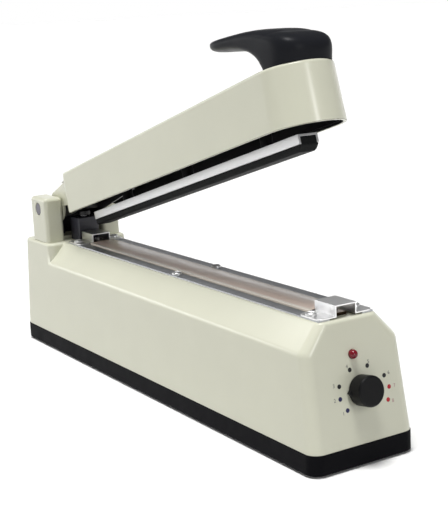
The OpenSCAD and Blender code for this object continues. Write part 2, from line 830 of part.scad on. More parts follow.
module transformer_core() {
    color("#5b5d60") translate([transformer_mid, 0, floor_z]) side_plate(core_t) difference() {
        translate([-core_l / 2, 0]) square([core_l, core_h]);
        for (x = [-2 * leg, leg]) translate([x, leg]) square([leg, window_h]);
    }
}

module transformer_coil() {
    side = 2 * leg - layer_gap;
    out = core_t / 2 + coil_over;
    color("#a8572c") translate([transformer_mid, 0, floor_z + leg + layer_gap])
        linear_extrude(window_h - 2 * layer_gap) difference() {
            rounded_rect(-side, side, 2 * out, 6);
            translate([-leg - layer_gap, -core_t / 2 - layer_gap])
                square([2 * (leg + layer_gap), core_t + 2 * layer_gap]);
        }
}

module transformer_strap() {
    w = core_l / 2;
    color(steel) translate([transformer_mid, 0, floor_z]) difference() {
        side_plate(strap_w) polygon([
            [-w - strap_t - strap_foot, 0], [-w, 0], [-w, core_h], [w, core_h], [w, 0],
            [w + strap_t + strap_foot, 0], [w + strap_t + strap_foot, strap_t], [w + strap_t, strap_t],
            [w + strap_t, core_h + strap_t], [-w - strap_t, core_h + strap_t], [-w - strap_t, strap_t],
            [-w - strap_t - strap_foot, strap_t]
        ]);
        for (s = [-1, 1]) translate([s * strap_screw_dx, 0, -cut])
            cylinder(r = small_r + fit, h = strap_t + 2 * cut);
    }
}

// Timer: potentiometer, board and parts, in the panel's own frame
pot_r = 8;
pot_h = 8.5;
pot_back = -shell_wall - pot_h;
board_t = 1.6;
board_low = 20;
board_high = 16;
board_half_w = 24;
nut_h = 2;
nut_r = 5.8;
bushing_over = 0.6;
knob_recess_r = 8;
knob_recess = 4;
shaft_top = 10.5;

module potentiometer() {
    color("#8f9499") on_panel() difference() {
        union() {
            translate([0, 0, pot_back]) cylinder(r = pot_r, h = pot_h);
            translate([0, 0, -shell_wall - cut])
                cylinder(r = bushing_r, h = shell_wall + cut + nut_h + bushing_over);
        }
        translate([0, 0, pot_back + 2]) cylinder(r = shaft_r + fit, h = pot_h + shell_wall + nut_h + cut);
    }
}

module potentiometer_nut() {
    color(bright) on_panel() translate([0, 0, layer_gap]) difference() {
        cylinder(r = nut_r, h = nut_h, $fn = 6);
        translate([0, 0, -cut]) cylinder(r = bushing_r + fit, h = nut_h + 2 * cut);
    }
}

module timer_board() {
    color("#3d6b45") on_panel() translate([-board_half_w, -board_low, pot_back - board_t])
        cube([2 * board_half_w, board_low + board_high, board_t]);
}

module timer_capacitors() {
    color("#2d3b57") on_panel() for (x = [-15, -2]) translate([x, -10, pot_back - board_t - 14])
        cylinder(r = 5, h = 14);
}

module timer_relay() {
    color("#2f6aa8") on_panel() translate([8, -16, pot_back - board_t - 15]) cube([13, 20, 15]);
}

module potentiometer_shaft() {
    color(bright) on_panel() translate([0, 0, pot_back + 2 + clear])
        cylinder(r = shaft_r, h = shaft_top - pot_back - 2 - clear);
}

// Knob: turned body with a pointer at its foot and a hollow over the nut
nib_l = 1.6;
nib_w = 2.4;
nib_h = 3;

module timer_knob() {
    top = knob_gap + knob_h;
    color("#212123") on_panel() difference() {
        union() {
            rotate_extrude() polygon([
                [0, knob_gap], [knob_r, knob_gap], [knob_r, top - knob_edge], [knob_r - knob_edge, top],
                [0, top]
            ]);
            translate([0, 0, knob_gap]) linear_extrude(nib_h) polygon([
                [-knob_r - nib_l, 0], [-knob_r + 0.5, -nib_w], [-knob_r + 0.5, nib_w]
            ]);
        }
        translate([0, 0, knob_gap - cut]) cylinder(r = knob_recess_r, h = knob_recess + cut);
        translate([0, 0, knob_gap]) cylinder(r = shaft_r + 0.02, h = shaft_top - knob_gap + 0.02);
    }
}

lens_flange = 2;
lens_proud = 1;
lens_lip = 1.5;
lamp_l = 14;

module lamp_lens() {
    inner = -shell_wall - layer_gap;
    color("#8a1b2b") on_panel() translate([lamp_side, lamp_up, 0]) {
        translate([0, 0, inner - lens_flange]) cylinder(r = lens_r + lens_lip, h = lens_flange);
        translate([0, 0, inner]) cylinder(r = lens_r, h = lens_proud - inner);
        translate([0, 0, lens_proud]) intersection() {
            sphere(lens_r);
            cylinder(r = 2 * lens_r, h = 2 * lens_r);
        }
    }
}

module lamp_body() {
    color("#e3e1d6") on_panel()
        translate([lamp_side, lamp_up, -shell_wall - layer_gap - lens_flange - lamp_l])
            cylinder(r = lens_r + 0.5, h = lamp_l);
}

module cord_gland() {
    color("#2b2b2c") on_rear() rotate_extrude() polygon([
        [gland_bore_r, gland_out - 0.4], [gland_bore_r + 0.4, gland_out], [gland_lip - 0.7, gland_out],
        [gland_lip, gland_out / 2], [gland_lip, layer_gap], [gland_r, layer_gap], [gland_r, gland_back],
        [gland_r + 1, gland_back], [gland_r + 1, gland_back - gland_tail],
        [gland_bore_r, gland_back - gland_tail]
    ]);
}

// Arm, in its own frame
arm_half = arm_w / 2;
arm_front_x = arm_reach - arm_half;
arm_draft = 0.8;
neck_half = neck_w / 2;
neck_wall = 2.4;
neck_in = neck_half - neck_wall;
neck_front = 24;
neck_low = -2;
neck_slope = 0.17;
taper_r = 3;
boss_r = 4.5;
frame_l = 95;
web_low = 5;
web_top = web_low + cheek_t;
frame_screw_x = [60, 85];
bar_bite = 12;
frame_bite = 9;
handle_bite = 10;
bite_spare = 2;
handle_inset = 3.2;
handle_front = arm_reach - handle_inset;
handle_tip = handle_front - handle_l;
foot_back = handle_front - foot_l;
handle_screw_in = 10;
handle_screw_x = [foot_back + handle_screw_in, handle_front - handle_screw_in];
// Posts of the pressing bar: the front one keeps its distance from the handle's foot
rear_post_in = 56;
front_post_back = 34.5;
bar_screw_x = [bed_start + rear_post_in, bed_start + bed_l / 2, foot_back - front_post_back];

// The arm's top rises to level_x and runs level from there to its round front
level_x = arm_front_x - (arm_half - arm_draft - arm_edge_r);
function arm_top(x) =
    min(rise_front, rise_rear + (rise_front - rise_rear) * (x - arm_rear) / (level_x - arm_rear));
function neck_top(x) = neck_r + neck_slope * x;

// Wide part of the arm, moved in by t and started at height z0
module arm_main(t, z0) {
    edge = max(arm_edge_r - t, 0.5);
    hull() {
        translate([arm_front_x, 0, z0]) cylinder(r = arm_half - t, h = 0.1, $fn = 64);
        translate([arm_front_x, 0, rise_front - t - edge])
            rotate_extrude($fn = 64) translate([arm_half - arm_draft - t - edge, 0]) circle(edge, $fn = 12);
        for (s = [-1, 1]) arm_rear_corner(s, t, z0, edge);
    }
}

module arm_rear_corner(s, t, z0, edge) {
    r = max(taper_r - t, 0.5);
    x = arm_rear + t + r;
    translate([x, s * (arm_half - t - r), z0]) cylinder(r = r, h = 0.1, $fn = blend_fn);
    translate([x, s * (arm_half - arm_draft - t - r), arm_top(x) - t - edge])
        edge_ring(max(r - edge, 0.2), edge);
}

// Part that narrows from the wide part to the neck
module arm_taper(half, t, z0, low) {
    edge = max(arm_edge_r - t, 0.5);
    hull() for (s = [-1, 1]) {
        arm_rear_corner(s, t, z0, edge);
        translate([neck_front, s * (half - 1), low]) cylinder(r = 1, h = 0.1, $fn = blend_fn);
        translate([neck_front, s * (half - 1), neck_top(neck_front) - t - 1]) sphere(1, $fn = 16);
    }
}

module neck_profile(r, low) {
    circle(r);
    polygon([[0, r], [neck_front, r + neck_slope * neck_front], [neck_front, low], [0, low]]);
}

module arm_shell() {
    deep = -rim_drop - cut;
    color(ivory) arm_pose() difference() {
        union() {
            arm_main(0, -rim_drop);
            arm_taper(neck_half, 0, -rim_drop, neck_low);
            side_plate(neck_w) neck_profile(neck_r, neck_low);
        }
        arm_main(arm_wall, deep);
        arm_taper(neck_in, arm_wall, deep, deep);
        side_plate(2 * neck_in) {
            neck_profile(neck_r - arm_wall, neck_low);
            translate([arm_wall - neck_r, -2 * rim_drop])
                square([neck_r - arm_wall + neck_front + cut, 2 * rim_drop]);
        }
        side_bores(neck_half + cut, neck_in - cut);
        handle_screw_bores();
    }
}

module handle_screw_bores() {
    for (x = handle_screw_x) translate([x, 0, arm_top(x) - 3 * arm_wall])
        cylinder(r = small_r + 2 * fit, h = 4 * arm_wall);
}

// Liner under the arm's top, with the posts that carry the pressing bar and the frame
liner_in = arm_wall + layer_gap;
liner_low = 2 - rim_drop;
liner_inset = 8;
liner_back = arm_rear + liner_inset;

function liner_mid(x) = arm_top(x) - liner_in - liner_t / 2;

module arm_liner() {
    deep = -rim_drop - cut;
    color(black) arm_pose() difference() {
        union() {
            difference() {
                arm_main(liner_in, deep);
                arm_main(liner_in + liner_t, deep - cut);
                translate([0, -arm_w, deep - cut]) {
                    cube([arm_reach, 2 * arm_w, liner_low - deep + cut]);
                    cube([liner_back, 2 * arm_w, rise_front - deep + 2 * cut]);
                }
            }
            for (x = bar_screw_x) translate([x, 0, -bar_drop])
                cylinder(r = boss_r, h = bar_drop + liner_mid(x));
            for (x = frame_screw_x) translate([x, 0, web_top])
                cylinder(r = boss_r, h = liner_mid(x) - web_top);
        }
        for (x = bar_screw_x) translate([x, 0, -bar_drop - cut])
            cylinder(r = small_r + fit, h = bar_bite + bite_spare + cut);
        for (x = frame_screw_x) translate([x, 0, web_top - cut])
            cylinder(r = small_r + fit, h = frame_bite + bite_spare + cut);
        handle_screw_bores();
    }
}

// Bores for the hinge bushes in both side walls
module side_bores(out, in) {
    for (s = [-1, 1]) translate([0, s > 0 ? in : -out, 0]) along_y()
        cylinder(r = pin_r + fit + bush_wall + 0.02, h = out - in);
}

// Frame: two cheeks on the hinge, a web above and heels that stop the arm when open
cheek_out = neck_in - 0.2;
cheek_in = cheek_out - cheek_t;
cheek_r = neck_r - arm_wall - 0.8;
heel_back = 9;
heel_front = 3;
stop_drop = hinge_h - deck_h - bracket_t - clear;
heel_drop = (stop_drop - heel_back * sin(open_angle)) / cos(open_angle);

module arm_frame() {
    color(black) arm_pose() difference() {
        union() {
            for (s = [-1, 1]) translate([0, s * (cheek_out + cheek_in) / 2, 0]) side_plate(cheek_t) {
                circle(cheek_r);
                polygon([
                    [0, cheek_r - 4], [frame_l, web_top], [frame_l, -4], [neck_front, 1 - rim_drop],
                    [0, 1 - rim_drop]
                ]);
                translate([-heel_back, -heel_drop]) square([heel_back - heel_front, heel_drop]);
            }
            translate([neck_front + 14, -cheek_out, web_low])
                cube([frame_l - neck_front - 14, 2 * cheek_out, cheek_t]);
        }
        side_bores(cheek_out + cut, cheek_in - cut);
        for (x = frame_screw_x) translate([x, 0, web_low - cut])
            cylinder(r = small_r + fit, h = cheek_t + 2 * cut);
        translate([rod_lever, -cheek_out - cut, -nose_drop]) along_y()
            cylinder(r = nose_r + 0.02, h = 2 * (cheek_out + cut));
    }
}

module push_pin() {
    color(bright) arm_pose() translate([rod_lever, -cheek_out, -nose_drop]) along_y()
        cylinder(r = nose_r, h = 2 * cheek_out);
}

bush_flange = ear_gap - clear - neck_half;

module hinge_bushes() {
    color("#e8e6dc") arm_pose() for (s = [-1, 1]) scale([1, s, 1]) translate([0, cheek_in, 0]) along_y()
        difference() {
            union() {
                cylinder(r = pin_r + fit + bush_wall, h = neck_half - cheek_in);
                translate([0, 0, neck_half - cheek_in])
                    cylinder(r = pin_r + fit + bush_wall + 2, h = bush_flange);
            }
            translate([0, 0, -cut]) cylinder(r = pin_r + fit, h = neck_half);
        }
}

module frame_screws() {
    color(bright) arm_pose() for (x = frame_screw_x) translate([x, 0, web_low]) mirror([0, 0, 1])
        screw(small_r, cheek_t + frame_bite, small_head_r, small_head_h);
}

// Pressing bar and rubber strip
module pressing_bar() {
    w = bar_w / 2;
    color("#c9cbcd") arm_pose() difference() {
        run_x(bed_start + 1, bed_start + bed_l - 1) polygon([
            [-w, -bar_drop - bar_h], [-w, -bar_drop], [w, -bar_drop], [w, -bar_drop - bar_h],
            [w - bar_t, -bar_drop - bar_h], [w - bar_t, -bar_drop - bar_t], [bar_t - w, -bar_drop - bar_t],
            [bar_t - w, -bar_drop - bar_h]
        ]);
        for (x = bar_screw_x) translate([x, 0, -bar_drop - bar_t - cut])
            cylinder(r = small_r + fit, h = bar_t + 2 * cut);
    }
}

module rubber_strip() {
    x0 = bed_start + 1;
    x1 = bed_start + bed_l - 1;
    top = -bar_drop - bar_t - layer_gap;
    step_z = -bar_drop - bar_h - layer_gap;
    inner = bar_w / 2 - bar_t - layer_gap;
    w = rubber_w / 2;
    nick = 4;
    color("#1b1b1d") arm_pose() difference() {
        intersection() {
            run_x(x0, x1) polygon([
                [-inner, top], [inner, top], [inner, step_z], [w, step_z], [w, -rubber_drop + 1.2],
                [w - 1.2, -rubber_drop], [1.2 - w, -rubber_drop], [-w, -rubber_drop + 1.2], [-w, step_z],
                [-inner, step_z]
            ]);
            side_plate(2 * bar_w) polygon([
                [x0, top], [x1, top], [x1, nick - rubber_drop], [x1 - nick, -rubber_drop], [x0, -rubber_drop]
            ]);
        }
        for (x = bar_screw_x) translate([x, 0, top - small_head_h])
            cylinder(r = small_head_r + clear, h = small_head_h + cut);
    }
}

module bar_screws() {
    color(bright) arm_pose() for (x = bar_screw_x) translate([x, 0, -bar_drop - bar_t]) mirror([0, 0, 1])
        screw(small_r, bar_t + bar_bite, small_head_r, small_head_h - layer_gap);
}

// Handle: sections between two rails, from the foot on the arm up and back to the tip of the hook.
// The outer rail runs up the front and along the crest, the inner one up the neck and under the hook.
handle_n = 36;
handle_m = 32;
seat_gap = 0.1;
seat_z = rise_front + seat_gap;
crest_n = 2.5;
turn_n = 1.25;
front_bow = 4.4;
bow_end = 0.45;
bend_at = 0.3;
bend_run = 0.5;
foot_n = 2.7;
bend_n = 3.3;
hook_n = 2.75;
tip_at = 0.985;
tip_round = 0.74;
lift_n = 4.3;
neck_lean = 8.25;
neck_up = 22;
hook_reach = 43.5;
hook_up = 20.5;
tip_in = 2;
under_rail = [
    [foot_back, seat_z],
    [foot_back - neck_lean, seat_z + neck_up],
    [handle_tip + hook_reach, seat_z + hook_up],
    [handle_tip + tip_in, seat_z + handle_rise + tip_lift - tip_t]
];

function power(c, n) = sign(c) * pow(abs(c), 2 / n);
function smooth(u) = let (v = min(1, max(0, u))) v * v * (3 - 2 * v);
function crest_at(t) =
    let (a = 90 * (1 - pow(1 - t, turn_n)), b = min(1, t / bow_end))
    [
        handle_tip + handle_l * power(cos(a), crest_n) + 4 * front_bow * b * (1 - b),
        seat_z + handle_rise * power(sin(a), crest_n) + tip_lift * pow(t, lift_n)
    ];
function under_at(t) =
    let (q = 1 - t)
    q * q * q * under_rail[0] + 3 * q * q * t * under_rail[1] + 3 * q * t * t * under_rail[2]
    + t * t * t * under_rail[3];
function handle_half(t) =
    (foot_half_w + (hook_half_w - foot_half_w) * smooth(t / tip_round))
    * sqrt(1 - pow(max(0, (t - tip_round) / (1 - tip_round)), 3));
function section_n(t) =
    foot_n + (bend_n - foot_n) * smooth(t / bend_at) + (hook_n - bend_n) * smooth((t - bend_at) / bend_run);
function handle_point(i, j) =
    let (
        t = tip_at * i / handle_n, a = 360 * j / handle_m, n = section_n(t),
        mid = (crest_at(t) + under_at(t)) / 2, half = (crest_at(t) - under_at(t)) / 2,
        p = mid + half * power(sin(a), n)
    )
    [p[0], handle_half(t) * power(cos(a), n), p[1]];

module handle() {
    points = [for (i = [0 : handle_n], j = [0 : handle_m - 1]) handle_point(i, j)];
    last = handle_n * handle_m;
    sides = [
        for (i = [0 : handle_n - 1], j = [0 : handle_m - 1])
            let (a = i * handle_m + j, b = i * handle_m + (j + 1) % handle_m)
            each [[a, a + handle_m, b], [b, a + handle_m, b + handle_m]]
    ];
    first_end = [for (j = [1 : handle_m - 2]) [0, j, j + 1]];
    last_end = [for (j = [1 : handle_m - 2]) [last, last + j + 1, last + j]];
    color("#2a2b30") arm_pose() difference() {
        polyhedron(points, concat(sides, first_end, last_end));
        for (x = handle_screw_x) translate([x, 0, arm_top(x) - cut])
            cylinder(r = small_r + fit, h = handle_bite + bite_spare + cut);
    }
}

module handle_screws() {
    color(bright) arm_pose() for (x = handle_screw_x)
        translate([x, 0, arm_top(x) - liner_in - liner_t - 2 * layer_gap]) mirror([0, 0, 1])
            screw(small_r, liner_in + liner_t + handle_bite, small_head_r, small_head_h);
}

base_tray();
rubber_feet();
base_screws();
body_shell();
hinge_bracket();
hinge_screws();
rear_guard();
hinge_pin();
pin_clip();
spring_tower();
return_spring();
sealing_bed();
insulating_strip();
heating_element();
ptfe_cloth();
near_clamp_strip();
far_clamp_strip();
strip_screws();
front_end_cover();
rear_end_cover();
element_terminals();
terminal_screws();
micro_switch();
switch_bracket();
switch_screws();
transformer_core();
transformer_coil();
transformer_strap();
floor_screws();
potentiometer();
potentiometer_nut();
timer_board();
timer_capacitors();
timer_relay();
lamp_lens();
lamp_body();
cord_gland();
arm_shell();
arm_liner();
arm_frame();
push_pin();
hinge_bushes();
frame_screws();
handle();
handle_screws();
pressing_bar();
rubber_strip();
bar_screws();
push_rod();
switch_button();
timer_knob();
potentiometer_shaft();
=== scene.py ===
"""Looks of a hand impulse bag sealer: its finishes, its fine meshes and the studio around it.

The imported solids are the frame. Names that end in _mm hold millimetres, other lengths are in metres.
"""

import json
import logging
import math
from dataclasses import dataclass
from enum import Enum
from typing import Any, ClassVar, Sequence

import bmesh
import bpy
from mathutils import Matrix, Vector
from mathutils.bvhtree import BVHTree

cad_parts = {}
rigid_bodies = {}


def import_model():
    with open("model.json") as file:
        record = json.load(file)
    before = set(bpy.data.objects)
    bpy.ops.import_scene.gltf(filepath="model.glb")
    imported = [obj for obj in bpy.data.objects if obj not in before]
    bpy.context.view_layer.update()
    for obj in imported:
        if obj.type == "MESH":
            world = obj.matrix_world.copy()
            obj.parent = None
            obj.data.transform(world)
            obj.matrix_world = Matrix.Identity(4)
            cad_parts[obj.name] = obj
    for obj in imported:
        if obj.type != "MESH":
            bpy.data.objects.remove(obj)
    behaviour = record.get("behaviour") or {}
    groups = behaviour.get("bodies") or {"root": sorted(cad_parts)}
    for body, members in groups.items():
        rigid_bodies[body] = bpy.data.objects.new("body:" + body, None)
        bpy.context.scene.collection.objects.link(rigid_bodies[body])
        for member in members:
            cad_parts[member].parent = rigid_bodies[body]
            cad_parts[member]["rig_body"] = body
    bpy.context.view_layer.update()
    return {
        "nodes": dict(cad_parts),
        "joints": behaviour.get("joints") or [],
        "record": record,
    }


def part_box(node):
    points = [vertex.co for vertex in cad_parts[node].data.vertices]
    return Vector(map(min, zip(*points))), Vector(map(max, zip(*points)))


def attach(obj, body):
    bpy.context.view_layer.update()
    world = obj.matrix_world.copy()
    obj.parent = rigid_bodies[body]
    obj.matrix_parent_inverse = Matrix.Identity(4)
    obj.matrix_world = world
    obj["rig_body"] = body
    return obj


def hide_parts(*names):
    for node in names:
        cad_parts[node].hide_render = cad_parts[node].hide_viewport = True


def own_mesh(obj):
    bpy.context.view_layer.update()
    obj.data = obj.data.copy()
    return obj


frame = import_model()
MM = 0.001
LOG = logging.getLogger("bag_sealer")
SLOT_OF = {part["node"]: part["material_slot"] for part in frame["record"]["subparts"]}
JOINTS = {joint["name"]: joint for joint in frame["joints"]}
HINGE = Vector(JOINTS["arm_hinge"]["pos_m"])
OPEN_TILT = math.radians(15.5)
# Half the cloth's width over the bed, and the width of the paler band along each side, a painted highlight on
# the cloth's fold.
CLOTH_HALF_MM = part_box("ptfe_cloth")[1].y / MM
FOLD_HIGHLIGHT_MM = 2.2
# Points closer than this are one point, and faces that turn less than this are one face.
WELD_MM = 0.002
FLAT_DEG = 0.8
# Edges that turn more than this look crisp.
SHARP_DEG = 34.0
# Edges that turn more than this are broken, in so many steps.
BREAK_DEG = 40.0
BREAK_STEPS = 2
# Sockets of a mix, by number because their names repeat: the share, the two numbers and the two colours.
SHARE, LOW, HIGH, FIRST, SECOND = 0, 2, 3, 6, 7
# Nearly all of a random pattern lies in the middle of its range.
MIDDLE = {"From Min": 0.3, "From Max": 0.7}
Point = tuple[float, float, float]
Colour = tuple[float, float, float, float]


def linear(colour: str) -> Colour:
    """Turns an sRGB hex colour to linear light.

    Args:
        colour: the colour as "#RRGGBB".

    Returns:
        Red, green, blue and alpha.
    """
    parts = [int(colour[i:i + 2], 16) / 255 for i in (1, 3, 5)]
    red, green, blue = (c / 12.92 if c <= 0.04045 else ((c + 0.055) / 1.055) ** 2.4 for c in parts)
    return red, green, blue, 1.0


def shaded(colour: str, share: float) -> Colour:
    """Makes a colour lighter or darker.

    Args:
        colour: the colour as "#RRGGBB".
        share: the factor on its linear light.

    Returns:
        Red, green, blue and alpha.
    """
    red, green, blue, alpha = linear(colour)
    return min(1.0, red * share), min(1.0, green * share), min(1.0, blue * share), alpha


def around(middle: float, by: float) -> dict[str, float]:
    """Gives the ends of a range around a value."""
    return {"To Min": middle - by, "To Max": middle + by}


def band_scale(spacing_mm: float) -> float:
    """Gives the scale of a wave by its bands, which repeat every 2*pi/20 of its scaled length."""
    return 2 * math.pi / 20 / (spacing_mm * MM)


def add_node(tree: bpy.types.NodeTree, kind: str, inputs: dict[Any, Any] | None = None,
             **settings: Any) -> bpy.types.Node:
    """Adds one node with its settings and links.

    Args:
        tree: the tree that takes the node.
        kind: the node's type after "ShaderNode".
        inputs: for each input, by name or number, a value, a socket to link or a node whose first live
            output is linked.
        settings: the node's own properties.

    Returns:
        The new node.
    """
    node = tree.nodes.new("ShaderNode" + kind)
    for name, value in settings.items():
        setattr(node, name, value)
    for key, value in (inputs or {}).items():
        if isinstance(value, bpy.types.Node):
            value = next(socket for socket in value.outputs if socket.enabled)
        if isinstance(value, bpy.types.NodeSocket):
            tree.links.new(value, node.inputs[key])
        else:
            node.inputs[key].default_value = value
    return node


class Edge(Enum):
    """Edge break that a way of making leaves, as a radius in millimetres."""

    SHEARED = 0.12
    TURNED = 0.2
    MOULDED = 0.3
    SOFT = 0.45


class Lay(Enum):
    """Direction in which a metal's working marks run."""

    ALONG_BASE = "along_base"
    ALONG_ARM = "along_arm"
    ALL_WAYS = "all_ways"


class Axis(Enum):
    """Axis of the shared frame along which a pattern's lines follow each other."""

    LENGTH = "X"
    WIDTH = "Y"


class Ink(Enum):
    """Colour of a printing ink."""

    NAVY = "#15154A"
    BLACK = "#0F0F11"
    GREY = "#5A5A58"
    RED = "#B01424"
    ROSE = "#A9787A"


@dataclass(frozen=True)
class Finish:
    """A real material with the surface that its making gave it."""

    name: str
    # Rubbing starts and is full where the rounded surface turns from the plain one by these cosines.
    rub_from: ClassVar[float] = 0.99
    rub_full: ClassVar[float] = 0.86
    rub_least: ClassVar[float] = 0.15
    rub_spot_mm: ClassVar[float] = 2.5

    def material(self) -> bpy.types.Material:
        """Gives the finish's material, made on first use.

        Returns:
            The material, named for the finish.
        """
        made = bpy.data.materials.get(self.name)
        if made is None:
            made = bpy.data.materials.new(self.name)
            made.use_nodes = True
            tree = made.node_tree
            tree.nodes.clear()
            shader = add_node(tree, "BsdfPrincipled", self.paint(tree))
            add_node(tree, "OutputMaterial", {"Surface": shader})
        return made

    def paint(self, tree: bpy.types.NodeTree) -> dict[str, Any]:
        """Lays the finish's patterns and gives the shader's inputs; each finish has its own."""
        raise NotImplementedError

    def spots(self, tree: bpy.types.NodeTree, size_mm: float, stretch: Point = (1.0, 1.0, 1.0),
              turn: float = 0.0, detail: float = 2.0) -> bpy.types.Node:
        """Lays even random spots over the piece.

        Args:
            tree: the material's tree.
            size_mm: the size of the spots.
            stretch: how much longer they are along each axis.
            turn: the angle about the Y axis by which they are turned.
            detail: the number of finer layers.

        Returns:
            The node that gives the spots, from 0 to 1.
        """
        at = add_node(tree, "TexCoord").outputs["Object"]
        turned = add_node(tree, "Mapping", {"Vector": at, "Rotation": (0.0, turn, 0.0)})
        scale = tuple(1 / (size_mm * MM * longer) for longer in stretch)
        sized = add_node(tree, "Mapping", {"Vector": turned, "Scale": scale})
        return add_node(tree, "TexNoise", {"Vector": sized, "Scale": 1.0, "Detail": detail})

    def clouded(self, tree: bpy.types.NodeTree, colour: str, size_mm: float, depth: float) -> bpy.types.Node:
        """Lays a faint cloud in a colour.

        Args:
            tree: the material's tree.
            colour: the colour as "#RRGGBB".
            size_mm: the size of the cloud's patches.
            depth: how much lighter and darker they are, as a share.

        Returns:
            The node that gives the clouded colour.
        """
        cloud = add_node(tree, "MapRange", {"Value": self.spots(tree, size_mm), **MIDDLE})
        ends = {FIRST: shaded(colour, 1 - depth), SECOND: shaded(colour, 1 + depth)}
        return add_node(tree, "Mix", {SHARE: cloud, **ends}, data_type="RGBA")

    def rubbed(self, tree: bpy.types.NodeTree, reach_mm: float) -> bpy.types.Node:
        """Finds the edges that hands and parts rub.

        Args:
            tree: the material's tree.
            reach_mm: how far the rubbing reaches from an edge.

        Returns:
            The node that gives the share of wear, broken up so that it is uneven.
        """
        rounded = add_node(tree, "Bevel", {"Radius": reach_mm * MM}, samples=4)
        plain = add_node(tree, "NewGeometry").outputs["Normal"]
        turn = add_node(tree, "VectorMath", {0: rounded, 1: plain}, operation="DOT_PRODUCT")
        reach = {"From Min": self.rub_from, "From Max": self.rub_full}
        edge = add_node(tree, "MapRange", {"Value": turn, **reach})
        broken = self.spots(tree, self.rub_spot_mm, detail=3.0)
        patches = add_node(tree, "MapRange", {"Value": broken, **MIDDLE, "To Min": self.rub_least})
        return add_node(tree, "Math", {0: edge, 1: patches}, operation="MULTIPLY")


@dataclass(frozen=True)
class MouldedPlastic(Finish):
    """Plastic with the grain of its mould, a faint cloud in its colour and rubbed edges."""

    colour: str
    roughness: float
    grain_mm: float = 0.5
    relief_mm: float = 0.004
    cloud: float = 0.04
    cloud_mm: float = 38.0
    wear: float = 1.15
    rub_mm: float = 0.6
    marks: float = 0.05
    marks_mm: float = 9.0
    gloss: float = 0.5
    ior: float = 1.53

    def paint(self, tree: bpy.types.NodeTree) -> dict[str, Any]:
        """Lays cloud, rubbed edges, handling marks and grain.

        Args:
            tree: the material's tree.

        Returns:
            The shader's inputs.
        """
        body = self.clouded(tree, self.colour, self.cloud_mm, self.cloud)
        worn = {SHARE: self.rubbed(tree, self.rub_mm), FIRST: body, SECOND: shaded(self.colour, self.wear)}
        handled = self.spots(tree, self.marks_mm, detail=4.0)
        rough = {"Value": handled, **MIDDLE, **around(self.roughness, self.marks)}
        grain = self.spots(tree, self.grain_mm)
        return {
            "Base Color": add_node(tree, "Mix", worn, data_type="RGBA"),
            "Roughness": add_node(tree, "MapRange", rough),
            "Normal": add_node(tree, "Bump", {"Height": grain, "Distance": self.relief_mm * MM}),
            "Specular IOR Level": self.gloss,
            "IOR": self.ior,
        }


@dataclass(frozen=True)
class WorkedMetal(Finish):
    """Bare or plated metal with the marks of rolling, brushing or turning."""

    colour: str
    roughness: float
    mark_mm: float
    relief_mm: float
    stain: float
    stain_mm: float
    lay: Lay = Lay.ALL_WAYS
    run: float = 60.0
    vary: float = 0.07
    wear: float = 1.2
    rub_mm: float = 0.3

    def paint(self, tree: bpy.types.NodeTree) -> dict[str, Any]:
        """Lays working marks, a dull stain and bright rubbed edges.

        Args:
            tree: the material's tree.

        Returns:
            The shader's inputs.
        """
        stretch = (1.0, 1.0, 1.0) if self.lay is Lay.ALL_WAYS else (self.run, 1.0, 1.0)
        turn = OPEN_TILT if self.lay is Lay.ALONG_ARM else 0.0
        marks = self.spots(tree, self.mark_mm, stretch, turn, detail=3.0)
        stain = add_node(tree, "MapRange", {"Value": self.spots(tree, self.stain_mm, detail=3.0), **MIDDLE})
        ends = {FIRST: linear(self.colour), SECOND: shaded(self.colour, 1 - self.stain)}
        body = add_node(tree, "Mix", {SHARE: stain, **ends}, data_type="RGBA")
        worn = {SHARE: self.rubbed(tree, self.rub_mm), FIRST: body, SECOND: shaded(self.colour, self.wear)}
        rough = {"Value": marks, **MIDDLE, **around(self.roughness, self.vary)}
        return {
            "Base Color": add_node(tree, "Mix", worn, data_type="RGBA"),
            "Roughness": add_node(tree, "MapRange", rough),
            "Normal": add_node(tree, "Bump", {"Height": marks, "Distance": self.relief_mm * MM}),
            "Metallic": 1.0,
        }


@dataclass(frozen=True)
class StovedPaint(Finish):
    """Paint baked on steel, with orange peel and edges rubbed to the metal."""

    colour: str
    bare: str
    roughness: float
    cloud: float = 0.15
    cloud_mm: float = 14.0
    rub_mm: float = 0.25
    peel_mm: float = 1.6
    relief_mm: float = 0.01
    vary: float = 0.05

    def paint(self, tree: bpy.types.NodeTree) -> dict[str, Any]:
        """Lays the paint's cloud and peel, and bares its edges.

        Args:
            tree: the material's tree.

        Returns:
            The shader's inputs.
        """
        body = self.clouded(tree, self.colour, self.cloud_mm, self.cloud)
        worn = {SHARE: self.rubbed(tree, self.rub_mm), FIRST: body, SECOND: linear(self.bare)}
        peel = self.spots(tree, self.peel_mm)
        rough = {"Value": peel, **MIDDLE, **around(self.roughness, self.vary)}
        return {
            "Base Color": add_node(tree, "Mix", worn, data_type="RGBA"),
            "Roughness": add_node(tree, "MapRange", rough),
            "Normal": add_node(tree, "Bump", {"Height": peel, "Distance": self.relief_mm * MM}),
        }


